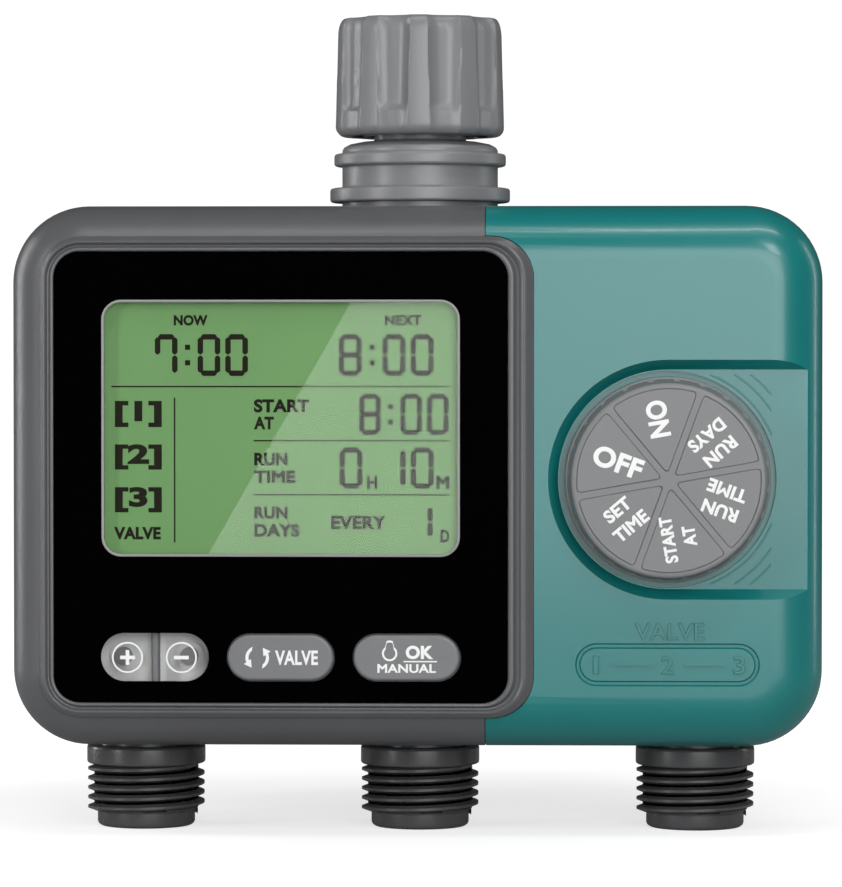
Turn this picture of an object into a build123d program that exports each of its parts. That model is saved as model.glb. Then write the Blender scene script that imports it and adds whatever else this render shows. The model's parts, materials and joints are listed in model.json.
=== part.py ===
"""Three-outlet drip irrigation timer: case, control panel, selector dial, swivel inlet nut,
manifold with three solenoid valves, battery compartment and three threaded outlets.

Frame: +Z up, +X to the right of someone facing the timer, the front faces -Y.
Origin: centre of the inlet washer's sealing face. Millimetres.
"""
import math
import os

from build123d import *

# ---------------------------------------------------------------- driving dimensions
# Three-quarter inch garden hose thread
thread_pitch = 2.209
male_crest_r = 13.495
male_root_r = 12.06
female_crest_r = 12.19
female_root_r = 13.62

# Case
case_width = 183.0
case_height = 122.0
case_depth = 68.0
case_corner_r = 17.3
case_edge_r = 12.0
case_wall = 2.6
seam_gap = 0.16
neck_gap = 0.25

# Console: raised frame round the black control panel
console_margin_left = 7.1
console_margin_top = 7.1
console_rise = 1.2
console_corner_r = 9.4
console_rim_thin = 3.3
console_rim_right = 6.2
console_to_pocket = 2.7
colour_seam_from_dial = 41.0
panel_below_rim = 0.6
panel_thickness = 1.6
panel_corner_r = 6.0
panel_gap = 0.12
panel_ledge = 2.0
panel_side_ledge = 6.8

# Display
display_side_margin = 10.8
display_top_margin = 10.9
display_height = 57.5
display_corner_r = 4.4
trim_width = 0.55
lens_thickness = 1.2
lens_flange = 2.0
lcd_thickness = 2.4
light_thickness = 2.0

# Keys
key_gap = 4.5
key_height = 10.3
key_row_from_bottom = 10.2
key_proud = 0.5
key_clearance = 0.3
key_flange = 1.2
rocker_pivot_d = 2.0
running_gap = 0.05

# Selector dial
dial_margin_right = 35.0
dial_below_middle = 0.5
dial_d = 46.0
dial_face_d = 43.4
dial_height = 10.6
dial_notch_count = 24
dial_legend_count = 6
dial_first_spoke_deg = 10.0
dial_spoke_gap = 1.4
pocket_side_gap = 1.6
pocket_wall_run = 2.2
pocket_depth = 3.3
pocket_floor = 2.2
spindle_d = 6.0
spindle_bush_wall = 2.4
spindle_bush_length = 2.0
spindle_seal_width = 1.6
spindle_seal_depth = 1.4

# Control board
board_front_from_face = 10.0
board_thickness = 1.6
board_side_gap = 8.8
board_half_height = 43.0
board_right_gap = 11.2
standoff_r = 2.8
standoff_pilot_r = 0.9
standoff_inset = 2.9
standoff_row = 32.0
standoff_outer_row = 39.0
standoff_outer_inset = 3.6
standoff_from_console = 6.5

# Inlet
collar_stack = 16.6
nut_top = 11.0
nut_bottom = -16.0
nut_top_r = 19.2
nut_low_r = 19.7
nut_cavity_r = 13.8
nut_scallop_count = 10
washer_thickness = 3.0
washer_r = 13.1
stem_bore_r = 8.0
stem_neck_r = 11.15
stem_lip_r = 13.3
stem_collar_r = 17.95
stem_spigot_r = 11.0
stem_spigot_length = 12.4
inner_flange_r = 20.5
flange_1_r = 19.8
flange_2_r = 20.75

# Outlets
outlet_margin = 28.0
outlet_neck_r = 11.2
outlet_ring_r = 13.7
outlet_tip_r = 11.25
outlet_bore_r = 7.4
outlet_flange_r = 12.6
outlet_spigot_r = 8.6
outlet_length = 20.5

# Manifold and valves
pipe_r = 11.0
pipe_bore_r = 8.0
pipe_below_middle = 8.0
riser_r = 14.0
valve_r = 18.0
valve_chamber_r = 13.0
valve_from_bottom = 25.0
valve_face_y = 10.5
ear_offset = 13.8
ear_r = 3.8
bonnet_thickness = 4.5
guide_r = 4.6
guide_bore_r = 3.6
plunger_r = 3.52
coil_r = 11.0

# Batteries
cell_d = 14.5
cell_length = 50.5
cell_gap = 0.8
cell_count = 4
box_wall = 1.5
box_from_right = 17.3
box_bottom_from_middle = -15.5
contact_space = 5.2
door_thickness = 2.0
door_overlap = 2.6
door_gap = 0.25
hinge_pin_d = 2.5
hinge_from_door = 3.0
door_head_height = 1.4
coin_slot = 1.1
grip_rib_count = 5
grip_rib_pitch = 2.6
grip_rib_length = 14.0
grip_from_edge = 14.5
hinge_rise = 0.6
knuckle_r = 2.6

# Fasteners
boss_r = 4.0
screw_side_top = 8.0
screw_side_low = 7.0
screw_top = 10.0
screw_low = 17.0
screw_from_edge = 7.0
screw_well = 8.0
cover_screw_length = 35.0
screw_shank_r = 1.45
screw_head_r = 2.7
screw_head_height = 2.0
screw_slot = 0.8

# ---------------------------------------------------------------- places worked out from them
front_y = -case_depth / 2
rear_y = case_depth / 2
stack_height = -nut_bottom + collar_stack
case_top = -stack_height
case_mid = case_top - case_height / 2
case_bottom = case_top - case_height
half_w = case_width / 2
half_h = case_height / 2

dial_x = half_w - dial_margin_right
dial_z = -dial_below_middle
pocket_r = dial_d / 2 + pocket_side_gap + pocket_wall_run
floor_y = front_y + pocket_depth

console_left = -half_w + console_margin_left
console_right = dial_x - pocket_r - console_to_pocket
console_half_h = half_h - console_margin_top
console_y = front_y - console_rise
panel_left = console_left + console_rim_thin
panel_right = console_right - console_rim_right
panel_x = (panel_left + panel_right) / 2
panel_w = panel_right - panel_left
panel_h = 2 * (console_half_h - console_rim_thin)
panel_front = console_y + panel_below_rim
panel_back = panel_front + panel_thickness
colour_seam_x = dial_x - colour_seam_from_dial

display_w = panel_w - 2 * display_side_margin
display_z = panel_h / 2 - display_top_margin - display_height / 2
key_w = (display_w - 2 * key_gap) / 3
key_pitch = key_w + key_gap
key_z = -panel_h / 2 + key_row_from_bottom
key_front = panel_front - key_proud
key_columns = [panel_x - key_pitch, panel_x, panel_x + key_pitch]

board_front = front_y + board_front_from_face
board_back = board_front + board_thickness
board_left = -half_w + case_wall + board_side_gap
board_right = half_w - case_wall - board_right_gap
standoff_columns = [(board_left + standoff_inset, standoff_row),
                    (console_right - standoff_from_console, standoff_row),
                    (board_right - standoff_outer_inset, standoff_outer_row)]
standoffs = [(x, side * row) for x, row in standoff_columns for side in (1, -1)]

outlet_x = half_w - outlet_margin
sides = {"left": -outlet_x, "middle": 0.0, "right": outlet_x}
valve_z = -half_h + valve_from_bottom
ears = [(ear_offset, ear_offset), (-ear_offset, ear_offset),
        (ear_offset, -ear_offset), (-ear_offset, -ear_offset)]

box_right = half_w - box_from_right
box_inner_w = cell_count * cell_d + (cell_count + 1) * cell_gap
box_left = box_right - box_inner_w - 2 * box_wall
box_x = (box_left + box_right) / 2
box_inner_h = cell_length + 2 * contact_space
box_z = box_bottom_from_middle + box_wall + box_inner_h / 2
box_back = rear_y - door_thickness - 2.0
box_front = box_back - cell_d - 2 * cell_gap - box_wall
cell_y = box_front + box_wall + cell_gap + cell_d / 2
cell_columns = [box_x + (i - (cell_count - 1) / 2) * (cell_d + cell_gap) for i in range(cell_count)]
door_left = box_left - door_overlap + box_wall
door_right = box_right + 2.0 * door_overlap
door_half_h = box_inner_h / 2 + door_overlap
door_inner = rear_y - door_thickness
hinge_x = door_left - hinge_from_door
hinge_y = rear_y + hinge_rise
door_screw_x = (box_right - box_wall + door_right) / 2

case_screws = [(side * (half_w - screw_side_top), half_h - screw_top) for side in (-1, 1)]
case_screws += [(side * (half_w - screw_side_low), -half_h + screw_low) for side in (-1, 1)]
case_screws += [(side * outlet_x / 2, row * (half_h - screw_from_edge))
                for side in (-1, 1) for row in (1, -1)]


def facing_front(y, x=0.0, z=0.0):
    """Plane at depth y, local X to the right and local Y up, measured from the case's middle."""
    return Plane(origin=(x, y, case_mid + z), x_dir=(1, 0, 0), z_dir=(0, -1, 0))


def level(z, x=0.0, y=0.0):
    """Horizontal plane at height z above the origin."""
    return Plane(origin=(x, y, z), x_dir=(1, 0, 0), z_dir=(0, 0, 1))


os.makedirs("parts", exist_ok=True)


def save(piece, name):
    """Label a finished piece and write it under the name of its node."""
    piece.part.label = name
    export_step(piece.part, f"parts/{name}.step")


# ---------------------------------------------------------------- case: forms shared by the covers
def rounded_block(width, height, depth, corner_r, edge_r, y_front):
    """Block with rounded corners whose front and rear rims are rolled over."""
    with BuildPart() as block:
        with BuildSketch(facing_front(y_front)):
            RectangleRounded(width, height, corner_r)
        extrude(amount=-depth)
        rims = block.edges().group_by(Axis.Y)
        fillet(rims[0] + rims[-1], edge_r)
    return block.part


def pocket_outline(radius):
    """D-shaped outline round the dial, open towards the right-hand edge."""
    Circle(radius)
    with Locations((case_width / 2, 0)):
        Rectangle(case_width, 2 * radius)


def grey_outline(shrink=0.0):
    """Left part of the front and the whole console, as one outline on the front face."""
    with Locations((colour_seam_x - case_width, 0)):
        Rectangle(2 * (case_width - shrink), 2 * case_height)
    console_w = console_right - console_left
    with Locations((console_left + console_w / 2, 0)):
        RectangleRounded(console_w - 2 * shrink, 2 * (console_half_h - shrink), console_corner_r - shrink)


case_form = rounded_block(case_width, case_height, case_depth, case_corner_r, case_edge_r, front_y)
inner_form = rounded_block(
    case_width - 2 * case_wall, case_height - 2 * case_wall, case_depth - 2 * case_wall,
    case_corner_r - case_wall, case_edge_r - case_wall, front_y + case_wall)

# The hollow of the case, less everything that stands up inside it
with BuildPart() as case_hollow:
    add(inner_form)
    with BuildSketch(facing_front(0)):
        with Locations(*case_screws):
            Circle(boss_r)
    extrude(amount=case_depth, both=True, mode=Mode.SUBTRACT)
    with BuildSketch(facing_front(board_front)):
        with Locations(*standoffs):
            Circle(standoff_r)
    extrude(amount=case_depth, mode=Mode.SUBTRACT)
    with BuildSketch(facing_front(floor_y + pocket_floor, dial_x, dial_z)):
        pocket_outline(pocket_r + pocket_floor)
    extrude(amount=case_depth, mode=Mode.SUBTRACT)
    with BuildSketch(facing_front(box_back, box_x, box_z)):
        with Locations(((hinge_x + door_right) / 2 - 2.0 - box_x, 0)):
            RectangleRounded(door_right - hinge_x + 8.0, 2 * door_half_h + 4.0, 3.0)
    extrude(amount=-case_depth, mode=Mode.SUBTRACT)

with BuildPart() as front_block:
    Box(2 * case_width, case_depth, 2 * case_height + 4 * stack_height,
        align=(Align.CENTER, Align.MAX, Align.CENTER))

# Openings that both covers share: the inlet stem above, the three outlets below
with BuildPart() as neck_openings:
    with BuildSketch(level(case_top - 2 * case_wall)):
        Circle(stem_collar_r + neck_gap)
    extrude(amount=4 * case_wall)
    with BuildSketch(level(case_bottom - case_wall)):
        with Locations(*[(x, 0) for x in sides.values()]):
            Circle(outlet_neck_r + neck_gap)
    extrude(amount=3 * case_wall)


# ---------------------------------------------------------------- front cover, grey part
with BuildPart() as front_cover_grey:
    add(case_form)
    add(case_hollow.part, mode=Mode.SUBTRACT)
    add(front_block.part, mode=Mode.INTERSECT)
    with BuildSketch(facing_front(0)):
        grey_outline()
    extrude(amount=case_depth, mode=Mode.INTERSECT)
    # Raised frame of the console, rolled over at its outer edge
    with BuildSketch(facing_front(front_y + case_wall)):
        with Locations(((console_left + console_right) / 2, 0)):
            RectangleRounded(console_right - console_left, 2 * console_half_h, console_corner_r)
            RectangleRounded(panel_w - 2 * panel_ledge, panel_h - 2 * panel_ledge,
                             panel_corner_r, mode=Mode.SUBTRACT)
    extrude(amount=case_wall + console_rise)
    rim_edges = front_cover_grey.edges().filter_by_position(
        Axis.Y, console_y - 0.01, console_y + 0.01).filter_by(
        lambda e: e.bounding_box().size.X > 0 or e.bounding_box().size.Z > 0)
    fillet(rim_edges, 0.9)
    # Seat for the control panel and the opening behind it
    with BuildSketch(facing_front(panel_back, panel_x)):
        RectangleRounded(panel_w, panel_h, panel_corner_r)
    extrude(amount=4 * console_rise, mode=Mode.SUBTRACT)
    with BuildSketch(facing_front(board_front, panel_x)):
        RectangleRounded(panel_w - 2 * panel_side_ledge, panel_h - 2 * panel_ledge, panel_corner_r)
    extrude(amount=case_depth, mode=Mode.SUBTRACT)
    add(neck_openings.part, mode=Mode.SUBTRACT)
    with BuildSketch(facing_front(0)):
        with Locations(*[p for p in case_screws if p[0] < colour_seam_x]):
            Circle(screw_shank_r)
    extrude(amount=10.0, mode=Mode.SUBTRACT)
    with BuildSketch(facing_front(board_front)):
        with Locations(*[p for p in standoffs if p[0] < console_right]):
            Circle(standoff_pilot_r)
    extrude(amount=5.0, mode=Mode.SUBTRACT)
save(front_cover_grey, "front_cover_grey")


# ---------------------------------------------------------------- front cover, teal part
with BuildPart() as front_cover_teal:
    add(case_form)
    add(case_hollow.part, mode=Mode.SUBTRACT)
    add(front_block.part, mode=Mode.INTERSECT)
    with BuildSketch(facing_front(0)):
        grey_outline(-seam_gap)
    extrude(amount=case_depth, mode=Mode.SUBTRACT)
    with BuildSketch(facing_front(floor_y, dial_x, dial_z)):
        pocket_outline(pocket_r - pocket_wall_run)
    extrude(amount=2 * pocket_depth, taper=-math.degrees(math.atan(pocket_wall_run / pocket_depth)),
            mode=Mode.SUBTRACT)
    # Bush for the dial's spindle, with a counterbore for its seal
    with BuildSketch(facing_front(floor_y + pocket_floor, dial_x, dial_z)):
        Circle(spindle_d / 2 + spindle_bush_wall)
    extrude(amount=-spindle_bush_length)
    with BuildSketch(facing_front(floor_y, dial_x, dial_z)):
        Circle(spindle_d / 2 + running_gap)
    extrude(amount=-case_depth, mode=Mode.SUBTRACT)
    with BuildSketch(facing_front(floor_y, dial_x, dial_z)):
        Circle(spindle_d / 2 + spindle_seal_width)
    extrude(amount=-spindle_seal_depth, mode=Mode.SUBTRACT)
    add(neck_openings.part, mode=Mode.SUBTRACT)
    with BuildSketch(facing_front(0)):
        with Locations(*[p for p in case_screws if p[0] > colour_seam_x]):
            Circle(screw_shank_r)
    extrude(amount=10.0, mode=Mode.SUBTRACT)
    with BuildSketch(facing_front(board_front)):
        with Locations(*[p for p in standoffs if p[0] > console_right]):
            Circle(standoff_pilot_r)
    extrude(amount=5.0, mode=Mode.SUBTRACT)
save(front_cover_teal, "front_cover_teal")


# ---------------------------------------------------------------- rear cover
knuckle_length = 5.0
knuckle_space = 0.3
hinge_spread = 20.0
knuckle_rows = [box_z - hinge_spread, box_z + hinge_spread]
case_knuckles = [row + side * (knuckle_length + knuckle_space) for row in knuckle_rows for side in (-1, 1)]
seat_gap = 0.2
gasket_width = 1.1
gasket_inset = 0.6
seal_width = 1.2
seal_depth = 1.0
seal_from_outside = 0.7
door_seat = door_inner - seat_gap


def ring_sketch(outer_w, outer_h, corner_r, width):
    """Rounded rectangular ring of the given width."""
    RectangleRounded(outer_w, outer_h, corner_r)
    RectangleRounded(outer_w - 2 * width, outer_h - 2 * width, corner_r - width, mode=Mode.SUBTRACT)


with BuildPart() as cover_seal:
    with BuildSketch(facing_front(0)):
        ring_sketch(case_width - 2 * seal_from_outside, case_height - 2 * seal_from_outside,
                    case_corner_r - seal_from_outside, seal_width)
    extrude(amount=-seal_depth)
    add(neck_openings.part, mode=Mode.SUBTRACT)
save(cover_seal, "cover_seal")

with BuildPart() as door_gasket:
    with BuildSketch(facing_front(door_seat - 0.8, box_x, box_z)):
        ring_sketch(box_inner_w + 2 * (gasket_inset + gasket_width),
                    box_inner_h + 2 * (gasket_inset + gasket_width), 3.0, gasket_width)
    extrude(amount=-(0.8 + seat_gap - running_gap))
save(door_gasket, "door_gasket")

with BuildPart() as rear_cover:
    add(case_form)
    add(case_hollow.part, mode=Mode.SUBTRACT)
    add(front_block.part, mode=Mode.SUBTRACT)
    # Recess for the battery door, and the opening to the battery box
    with BuildSketch(facing_front(door_seat, (door_left + door_right) / 2, box_z)):
        RectangleRounded(door_right - door_left + 2 * door_gap, 2 * (door_half_h + door_gap), 3.0)
    extrude(amount=-case_depth, mode=Mode.SUBTRACT)
    with BuildSketch(facing_front(0, box_x, box_z)):
        RectangleRounded(box_inner_w, box_inner_h, 1.5)
    extrude(amount=-case_depth, mode=Mode.SUBTRACT)
    with BuildSketch(facing_front(0, door_screw_x, box_z)):
        Circle(screw_shank_r + 0.35)
    extrude(amount=-case_depth, mode=Mode.SUBTRACT)
    # Hinge: channels for the door's knuckles, then the cover's own knuckles
    for row in knuckle_rows:
        channel = knuckle_length + 2 * knuckle_space
        with BuildSketch(level(case_mid + row - channel / 2, hinge_x, hinge_y)):
            Rectangle(2 * (knuckle_r + knuckle_space), 2 * (knuckle_r + knuckle_space))
            with Locations(((door_left - hinge_x) / 2, 0)):
                Rectangle(door_left - hinge_x + 2 * door_gap, 2 * (knuckle_r + knuckle_space))
        extrude(amount=channel, mode=Mode.SUBTRACT)
    for row in case_knuckles:
        with BuildSketch(level(case_mid + row - knuckle_length / 2, hinge_x, hinge_y)):
            Circle(knuckle_r)
        extrude(amount=knuckle_length)
    with BuildSketch(level(case_mid + box_z - hinge_spread - 2 * knuckle_length, hinge_x, hinge_y)):
        Circle(hinge_pin_d / 2)
    extrude(amount=2 * hinge_spread + 4 * knuckle_length, mode=Mode.SUBTRACT)
    # Screw holes with deep counterbores, and the groove for the cover seal
    with BuildSketch(facing_front(0)):
        with Locations(*case_screws):
            Circle(screw_shank_r + 0.25)
    extrude(amount=-case_depth, mode=Mode.SUBTRACT)
    with BuildSketch(facing_front(rear_y - screw_well)):
        with Locations(*case_screws):
            Circle(screw_head_r + 0.2)
    extrude(amount=-case_depth, mode=Mode.SUBTRACT)
    add(cover_seal.part, mode=Mode.SUBTRACT)
    add(door_gasket.part, mode=Mode.SUBTRACT)
    add(neck_openings.part, mode=Mode.SUBTRACT)
save(rear_cover, "rear_cover")


# ---------------------------------------------------------------- fasteners
def screw_group(spots, y_head, shank_length, shank_r, head_r, head_height, slot):
    """Pan-head screws along Y with slotted heads that face the rear, as one group of solids."""
    with BuildPart() as group:
        with BuildSketch(facing_front(y_head)):
            with Locations(*spots):
                Circle(shank_r)
        extrude(amount=shank_length)
        with BuildSketch(facing_front(y_head)):
            with Locations(*spots):
                Circle(head_r)
        extrude(amount=-head_height)
        with BuildSketch(facing_front(y_head + head_height)):
            with Locations(*spots):
                Rectangle(2 * head_r, slot)
        extrude(amount=head_height / 2, mode=Mode.SUBTRACT)
    return group


cover_screws = screw_group(case_screws, rear_y - screw_well, cover_screw_length, screw_shank_r,
                           screw_head_r, screw_head_height, screw_slot)
save(cover_screws, "cover_screws")

with BuildPart() as door_hinge_pin:
    pin_length = 2 * hinge_spread + 3 * knuckle_length + 2 * knuckle_space
    with BuildSketch(level(case_mid + box_z - pin_length / 2, hinge_x, hinge_y)):
        Circle(hinge_pin_d / 2)
    extrude(amount=pin_length)
save(door_hinge_pin, "door_hinge_pin")

# ---------------------------------------------------------------- battery door and its screw
with BuildPart() as battery_door:
    with BuildSketch(facing_front(rear_y, (door_left + door_right) / 2, box_z)):
        RectangleRounded(door_right - door_left, 2 * door_half_h, 2.6)
    extrude(amount=door_thickness)
    for row in knuckle_rows:
        with BuildSketch(level(case_mid + row - knuckle_length / 2, hinge_x, hinge_y)):
            Circle(knuckle_r)
            with Locations(((door_left - hinge_x) / 2 + 1.0, rear_y - door_thickness / 2 - hinge_y)):
                Rectangle(door_left - hinge_x + 2.0, door_thickness)
        extrude(amount=knuckle_length)
        with BuildSketch(level(case_mid + row - knuckle_length / 2, hinge_x, hinge_y)):
            Circle(hinge_pin_d / 2 + running_gap)
        extrude(amount=knuckle_length, mode=Mode.SUBTRACT)
    with BuildSketch(facing_front(rear_y, door_screw_x, box_z)):
        Circle(screw_shank_r + 0.1)
    extrude(amount=2 * door_thickness, mode=Mode.SUBTRACT)
    # Finger grip ribs near the free edge
    with BuildSketch(facing_front(rear_y, door_right - grip_from_edge, box_z)):
        with GridLocations(grip_rib_pitch, 0, grip_rib_count, 1):
            SlotOverall(grip_rib_length, grip_rib_pitch / 2, rotation=90)
    extrude(amount=-0.6)
save(battery_door, "battery_door")

with BuildPart() as door_screw:
    with BuildSketch(facing_front(rear_y, door_screw_x, box_z)):
        Circle(screw_shank_r)
    extrude(amount=5.5)
    with BuildSketch(facing_front(rear_y, door_screw_x, box_z)):
        Circle((door_right - door_screw_x) - 0.3)
    extrude(amount=-door_head_height)
    with BuildSketch(facing_front(rear_y + door_head_height, door_screw_x, box_z)):
        Rectangle(coin_slot, 2 * (door_right - door_screw_x))
    extrude(amount=door_head_height / 2, mode=Mode.SUBTRACT)
save(door_screw, "door_screw")

# ---------------------------------------------------------------- battery box, cells and contacts
with BuildPart() as battery_box:
    with BuildSketch(facing_front(box_back, box_x, box_z)):
        RectangleRounded(box_inner_w + 2 * box_wall, box_inner_h + 2 * box_wall, 3.0)
    extrude(amount=box_back - box_front)
    with BuildSketch(facing_front(box_front + box_wall, box_x, box_z)):
        RectangleRounded(box_inner_w, box_inner_h, 1.5)
    extrude(amount=-case_depth, mode=Mode.SUBTRACT)
    # Low ribs that keep the cells apart
    with BuildSketch(facing_front(box_front + box_wall, box_x, box_z)):
        with GridLocations(cell_d + cell_gap, 0, cell_count - 1, 1):
            Rectangle(cell_gap - 0.1, cell_length - 6.0)
    extrude(amount=-2.2)
save(battery_box, "battery_box")

nub_r = 2.7
nub_height = 1.2
for i, x in enumerate(cell_columns):
    up = 1 if i % 2 == 0 else -1
    cell_foot = case_mid + box_z - cell_length / 2 + (0 if up > 0 else nub_height)
    with BuildPart() as battery:
        with BuildSketch(level(cell_foot, x, cell_y)):
            Circle(cell_d / 2)
        extrude(amount=cell_length - nub_height)
        fillet(battery.edges().filter_by(GeomType.CIRCLE), 0.6)
        nub_foot = cell_length / 2 - nub_height
        with BuildSketch(level(case_mid + box_z + (nub_foot if up > 0 else -cell_length / 2), x, cell_y)):
            Circle(nub_r)
        extrude(amount=nub_height)
    save(battery, f"battery_{i + 1}")

plate_w = 11.0
plate_h = 9.0
plate_thickness = 0.5
contact_wire_r = 0.4
contact_coil_r = 3.6
contact_turns = 3
with BuildPart() as battery_contacts:
    top = case_mid + box_z + box_inner_h / 2
    bottom = case_mid + box_z - box_inner_h / 2
    # Two plates that join neighbouring cells at the top, one pair and two single ones below
    with BuildSketch(level(top, 0, cell_y)):
        with Locations(*[((cell_columns[i] + cell_columns[i + 1]) / 2, 0) for i in (0, 2)]):
            Rectangle(plate_w + cell_d + cell_gap, plate_h)
    extrude(amount=-plate_thickness)
    with BuildSketch(level(bottom, 0, cell_y)):
        with Locations(((cell_columns[1] + cell_columns[2]) / 2, 0)):
            Rectangle(plate_w + cell_d + cell_gap, plate_h)
        with Locations((cell_columns[0], 0), (cell_columns[3], 0)):
            Rectangle(plate_w, plate_h)
    extrude(amount=plate_thickness)
    # A spring stands on the plate at each cell's flat end, and a stud at its nub
    room = contact_space - plate_thickness
    for i, x in enumerate(cell_columns):
        spring_end, stud_end = (bottom, top) if i % 2 == 0 else (top, bottom)
        into = 1 if spring_end == bottom else -1
        start = spring_end + into * (plate_thickness + contact_wire_r / 2)
        height = room - 1.5 * contact_wire_r
        with BuildLine():
            coil = Helix(pitch=height / contact_turns, height=height, radius=contact_coil_r,
                         center=(x, cell_y, start), direction=(0, 0, into))
        with BuildSketch(Plane(origin=coil @ 0, z_dir=coil % 0)):
            Circle(contact_wire_r)
        sweep(path=coil)
        with BuildSketch(level(stud_end - into * plate_thickness, x, cell_y)):
            Circle(nub_r - 0.5)
        extrude(amount=-into * room)
save(battery_contacts, "battery_contacts")

# ---------------------------------------------------------------- control panel
lug_inner = key_height / 2 + key_flange + 0.35
lug_outer = lug_inner + 1.5
rocker_y = panel_back + 1.6
with BuildPart() as control_panel:
    with BuildSketch(facing_front(panel_back, panel_x)):
        RectangleRounded(panel_w - 2 * panel_gap, panel_h - 2 * panel_gap, panel_corner_r - panel_gap)
        with Locations((0, display_z)):
            RectangleRounded(display_w, display_height, display_corner_r, mode=Mode.SUBTRACT)
        with Locations(*[(x - panel_x, key_z) for x in key_columns]):
            SlotOverall(key_w + 2 * key_clearance, key_height + 2 * key_clearance, mode=Mode.SUBTRACT)
    extrude(amount=panel_thickness)
    front_rim = control_panel.edges().filter_by_position(Axis.Y, panel_front - 0.01, panel_front + 0.01)
    chamfer(front_rim, 0.15)
    # Lugs behind the panel carry the rocker key's pivots
    with BuildSketch(facing_front(panel_back, key_columns[0], key_z)):
        with Locations((0, (lug_inner + lug_outer) / 2), (0, -(lug_inner + lug_outer) / 2)):
            Rectangle(4.4, lug_outer - lug_inner)
    extrude(amount=-(rocker_y - panel_back + 2.0))
    with BuildSketch(level(case_mid + key_z - lug_outer, key_columns[0], rocker_y)):
        Circle(rocker_pivot_d / 2 + running_gap)
    extrude(amount=2 * lug_outer, mode=Mode.SUBTRACT)
save(control_panel, "control_panel")

# ---------------------------------------------------------------- keys
seal_front = board_front - 5.0
stem_r = 2.0


def key_cap(x, flange_front):
    """Pill-shaped cap with a wider flange behind the panel, and its crowned front edge."""
    with BuildPart() as cap:
        with BuildSketch(facing_front(flange_front, x, key_z)):
            SlotOverall(key_w, key_height)
        extrude(amount=flange_front - key_front)
        fillet(cap.edges().filter_by_position(Axis.Y, key_front - 0.01, key_front + 0.01), 0.7)
        with BuildSketch(facing_front(flange_front, x, key_z)):
            SlotOverall(key_w + 2 * key_flange - 0.4, key_height + 2 * key_flange - 0.4)
        extrude(amount=-key_flange)
    return cap.part


with BuildPart() as key_plus_minus:
    add(key_cap(key_columns[0], panel_back + 1.0))
    with BuildSketch(level(case_mid + key_z - lug_outer + 0.2, key_columns[0], rocker_y)):
        Circle(rocker_pivot_d / 2)
    extrude(amount=2 * (lug_outer - 0.2))
    with BuildSketch(facing_front(panel_back + 1.0 + key_flange, key_columns[0], key_z)):
        with Locations((-key_w / 3.2, 0), (key_w / 3.2, 0)):
            Circle(stem_r)
    extrude(amount=-(seal_front - panel_back - 1.0 - key_flange))
save(key_plus_minus, "key_plus_minus")

for name, x in (("key_zone", key_columns[1]), ("key_ok", key_columns[2])):
    with BuildPart() as push_key:
        add(key_cap(x, panel_back + 0.15))
        with BuildSketch(facing_front(panel_back + 0.15 + key_flange, x, key_z)):
            Circle(stem_r)
        extrude(amount=-(seal_front - panel_back - 0.15 - key_flange))
    save(push_key, name)

switch_spots = [(key_columns[0] - key_w / 3.2, key_z), (key_columns[0] + key_w / 3.2, key_z),
                (key_columns[1], key_z), (key_columns[2], key_z)]

with BuildPart() as keypad_seal:
    with BuildSketch(facing_front(seal_front + 1.2, panel_x, key_z)):
        RectangleRounded(display_w + 4.0, key_height + 3.0, 3.0)
    extrude(amount=0.8)
    with BuildSketch(facing_front(seal_front + 0.4)):
        with Locations(*switch_spots):
            Circle(stem_r + 1.2)
    extrude(amount=0.4)
save(keypad_seal, "keypad_seal")

# ---------------------------------------------------------------- display
with BuildPart() as window_trim:
    with BuildSketch(facing_front(panel_back, panel_x, display_z)):
        ring_sketch(display_w, display_height, display_corner_r, trim_width)
    extrude(amount=panel_thickness + 0.12)
save(window_trim, "window_trim")

with BuildPart() as display_lens:
    with BuildSketch(facing_front(panel_back, panel_x, display_z)):
        RectangleRounded(display_w - 2 * trim_width, display_height - 2 * trim_width,
                         display_corner_r - trim_width)
    extrude(amount=panel_thickness - 0.15)
    with BuildSketch(facing_front(panel_back, panel_x, display_z)):
        RectangleRounded(display_w + 2 * lens_flange, display_height + 2 * lens_flange, display_corner_r)
    extrude(amount=-lens_thickness + 0.4)
save(display_lens, "display_lens")

lcd_front = panel_back + lens_thickness - 0.4
with BuildPart() as lcd_glass:
    with BuildSketch(facing_front(lcd_front, panel_x, display_z)):
        Rectangle(display_w + 1.0, display_height + 1.0)
    extrude(amount=-lcd_thickness)
save(lcd_glass, "lcd_glass")

light_front = lcd_front + lcd_thickness
with BuildPart() as display_light:
    with BuildSketch(facing_front(light_front, panel_x, display_z)):
        Rectangle(display_w + 1.0, display_height + 1.0)
    extrude(amount=-light_thickness)
save(display_light, "display_light")

carrier_front = light_front + light_thickness
with BuildPart() as display_carrier:
    carrier_top = display_z + display_height / 2 + 2.0
    carrier_bottom = key_z - key_height / 2 - 2.0
    with BuildSketch(facing_front(board_front, panel_x, (carrier_top + carrier_bottom) / 2)):
        RectangleRounded(display_w + 5.0, carrier_top - carrier_bottom, 2.0)
    extrude(amount=board_front - carrier_front)
    with BuildSketch(facing_front(board_front, panel_x, display_z)):
        RectangleRounded(display_w - 5.0, display_height - 5.0, 2.0)
    extrude(amount=case_wall * 2, mode=Mode.SUBTRACT)
    with BuildSketch(facing_front(board_front, panel_x, key_z)):
        RectangleRounded(display_w - 2.0, key_height - 1.0, 2.0)
    extrude(amount=case_wall * 2, mode=Mode.SUBTRACT)
save(display_carrier, "display_carrier")

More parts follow.
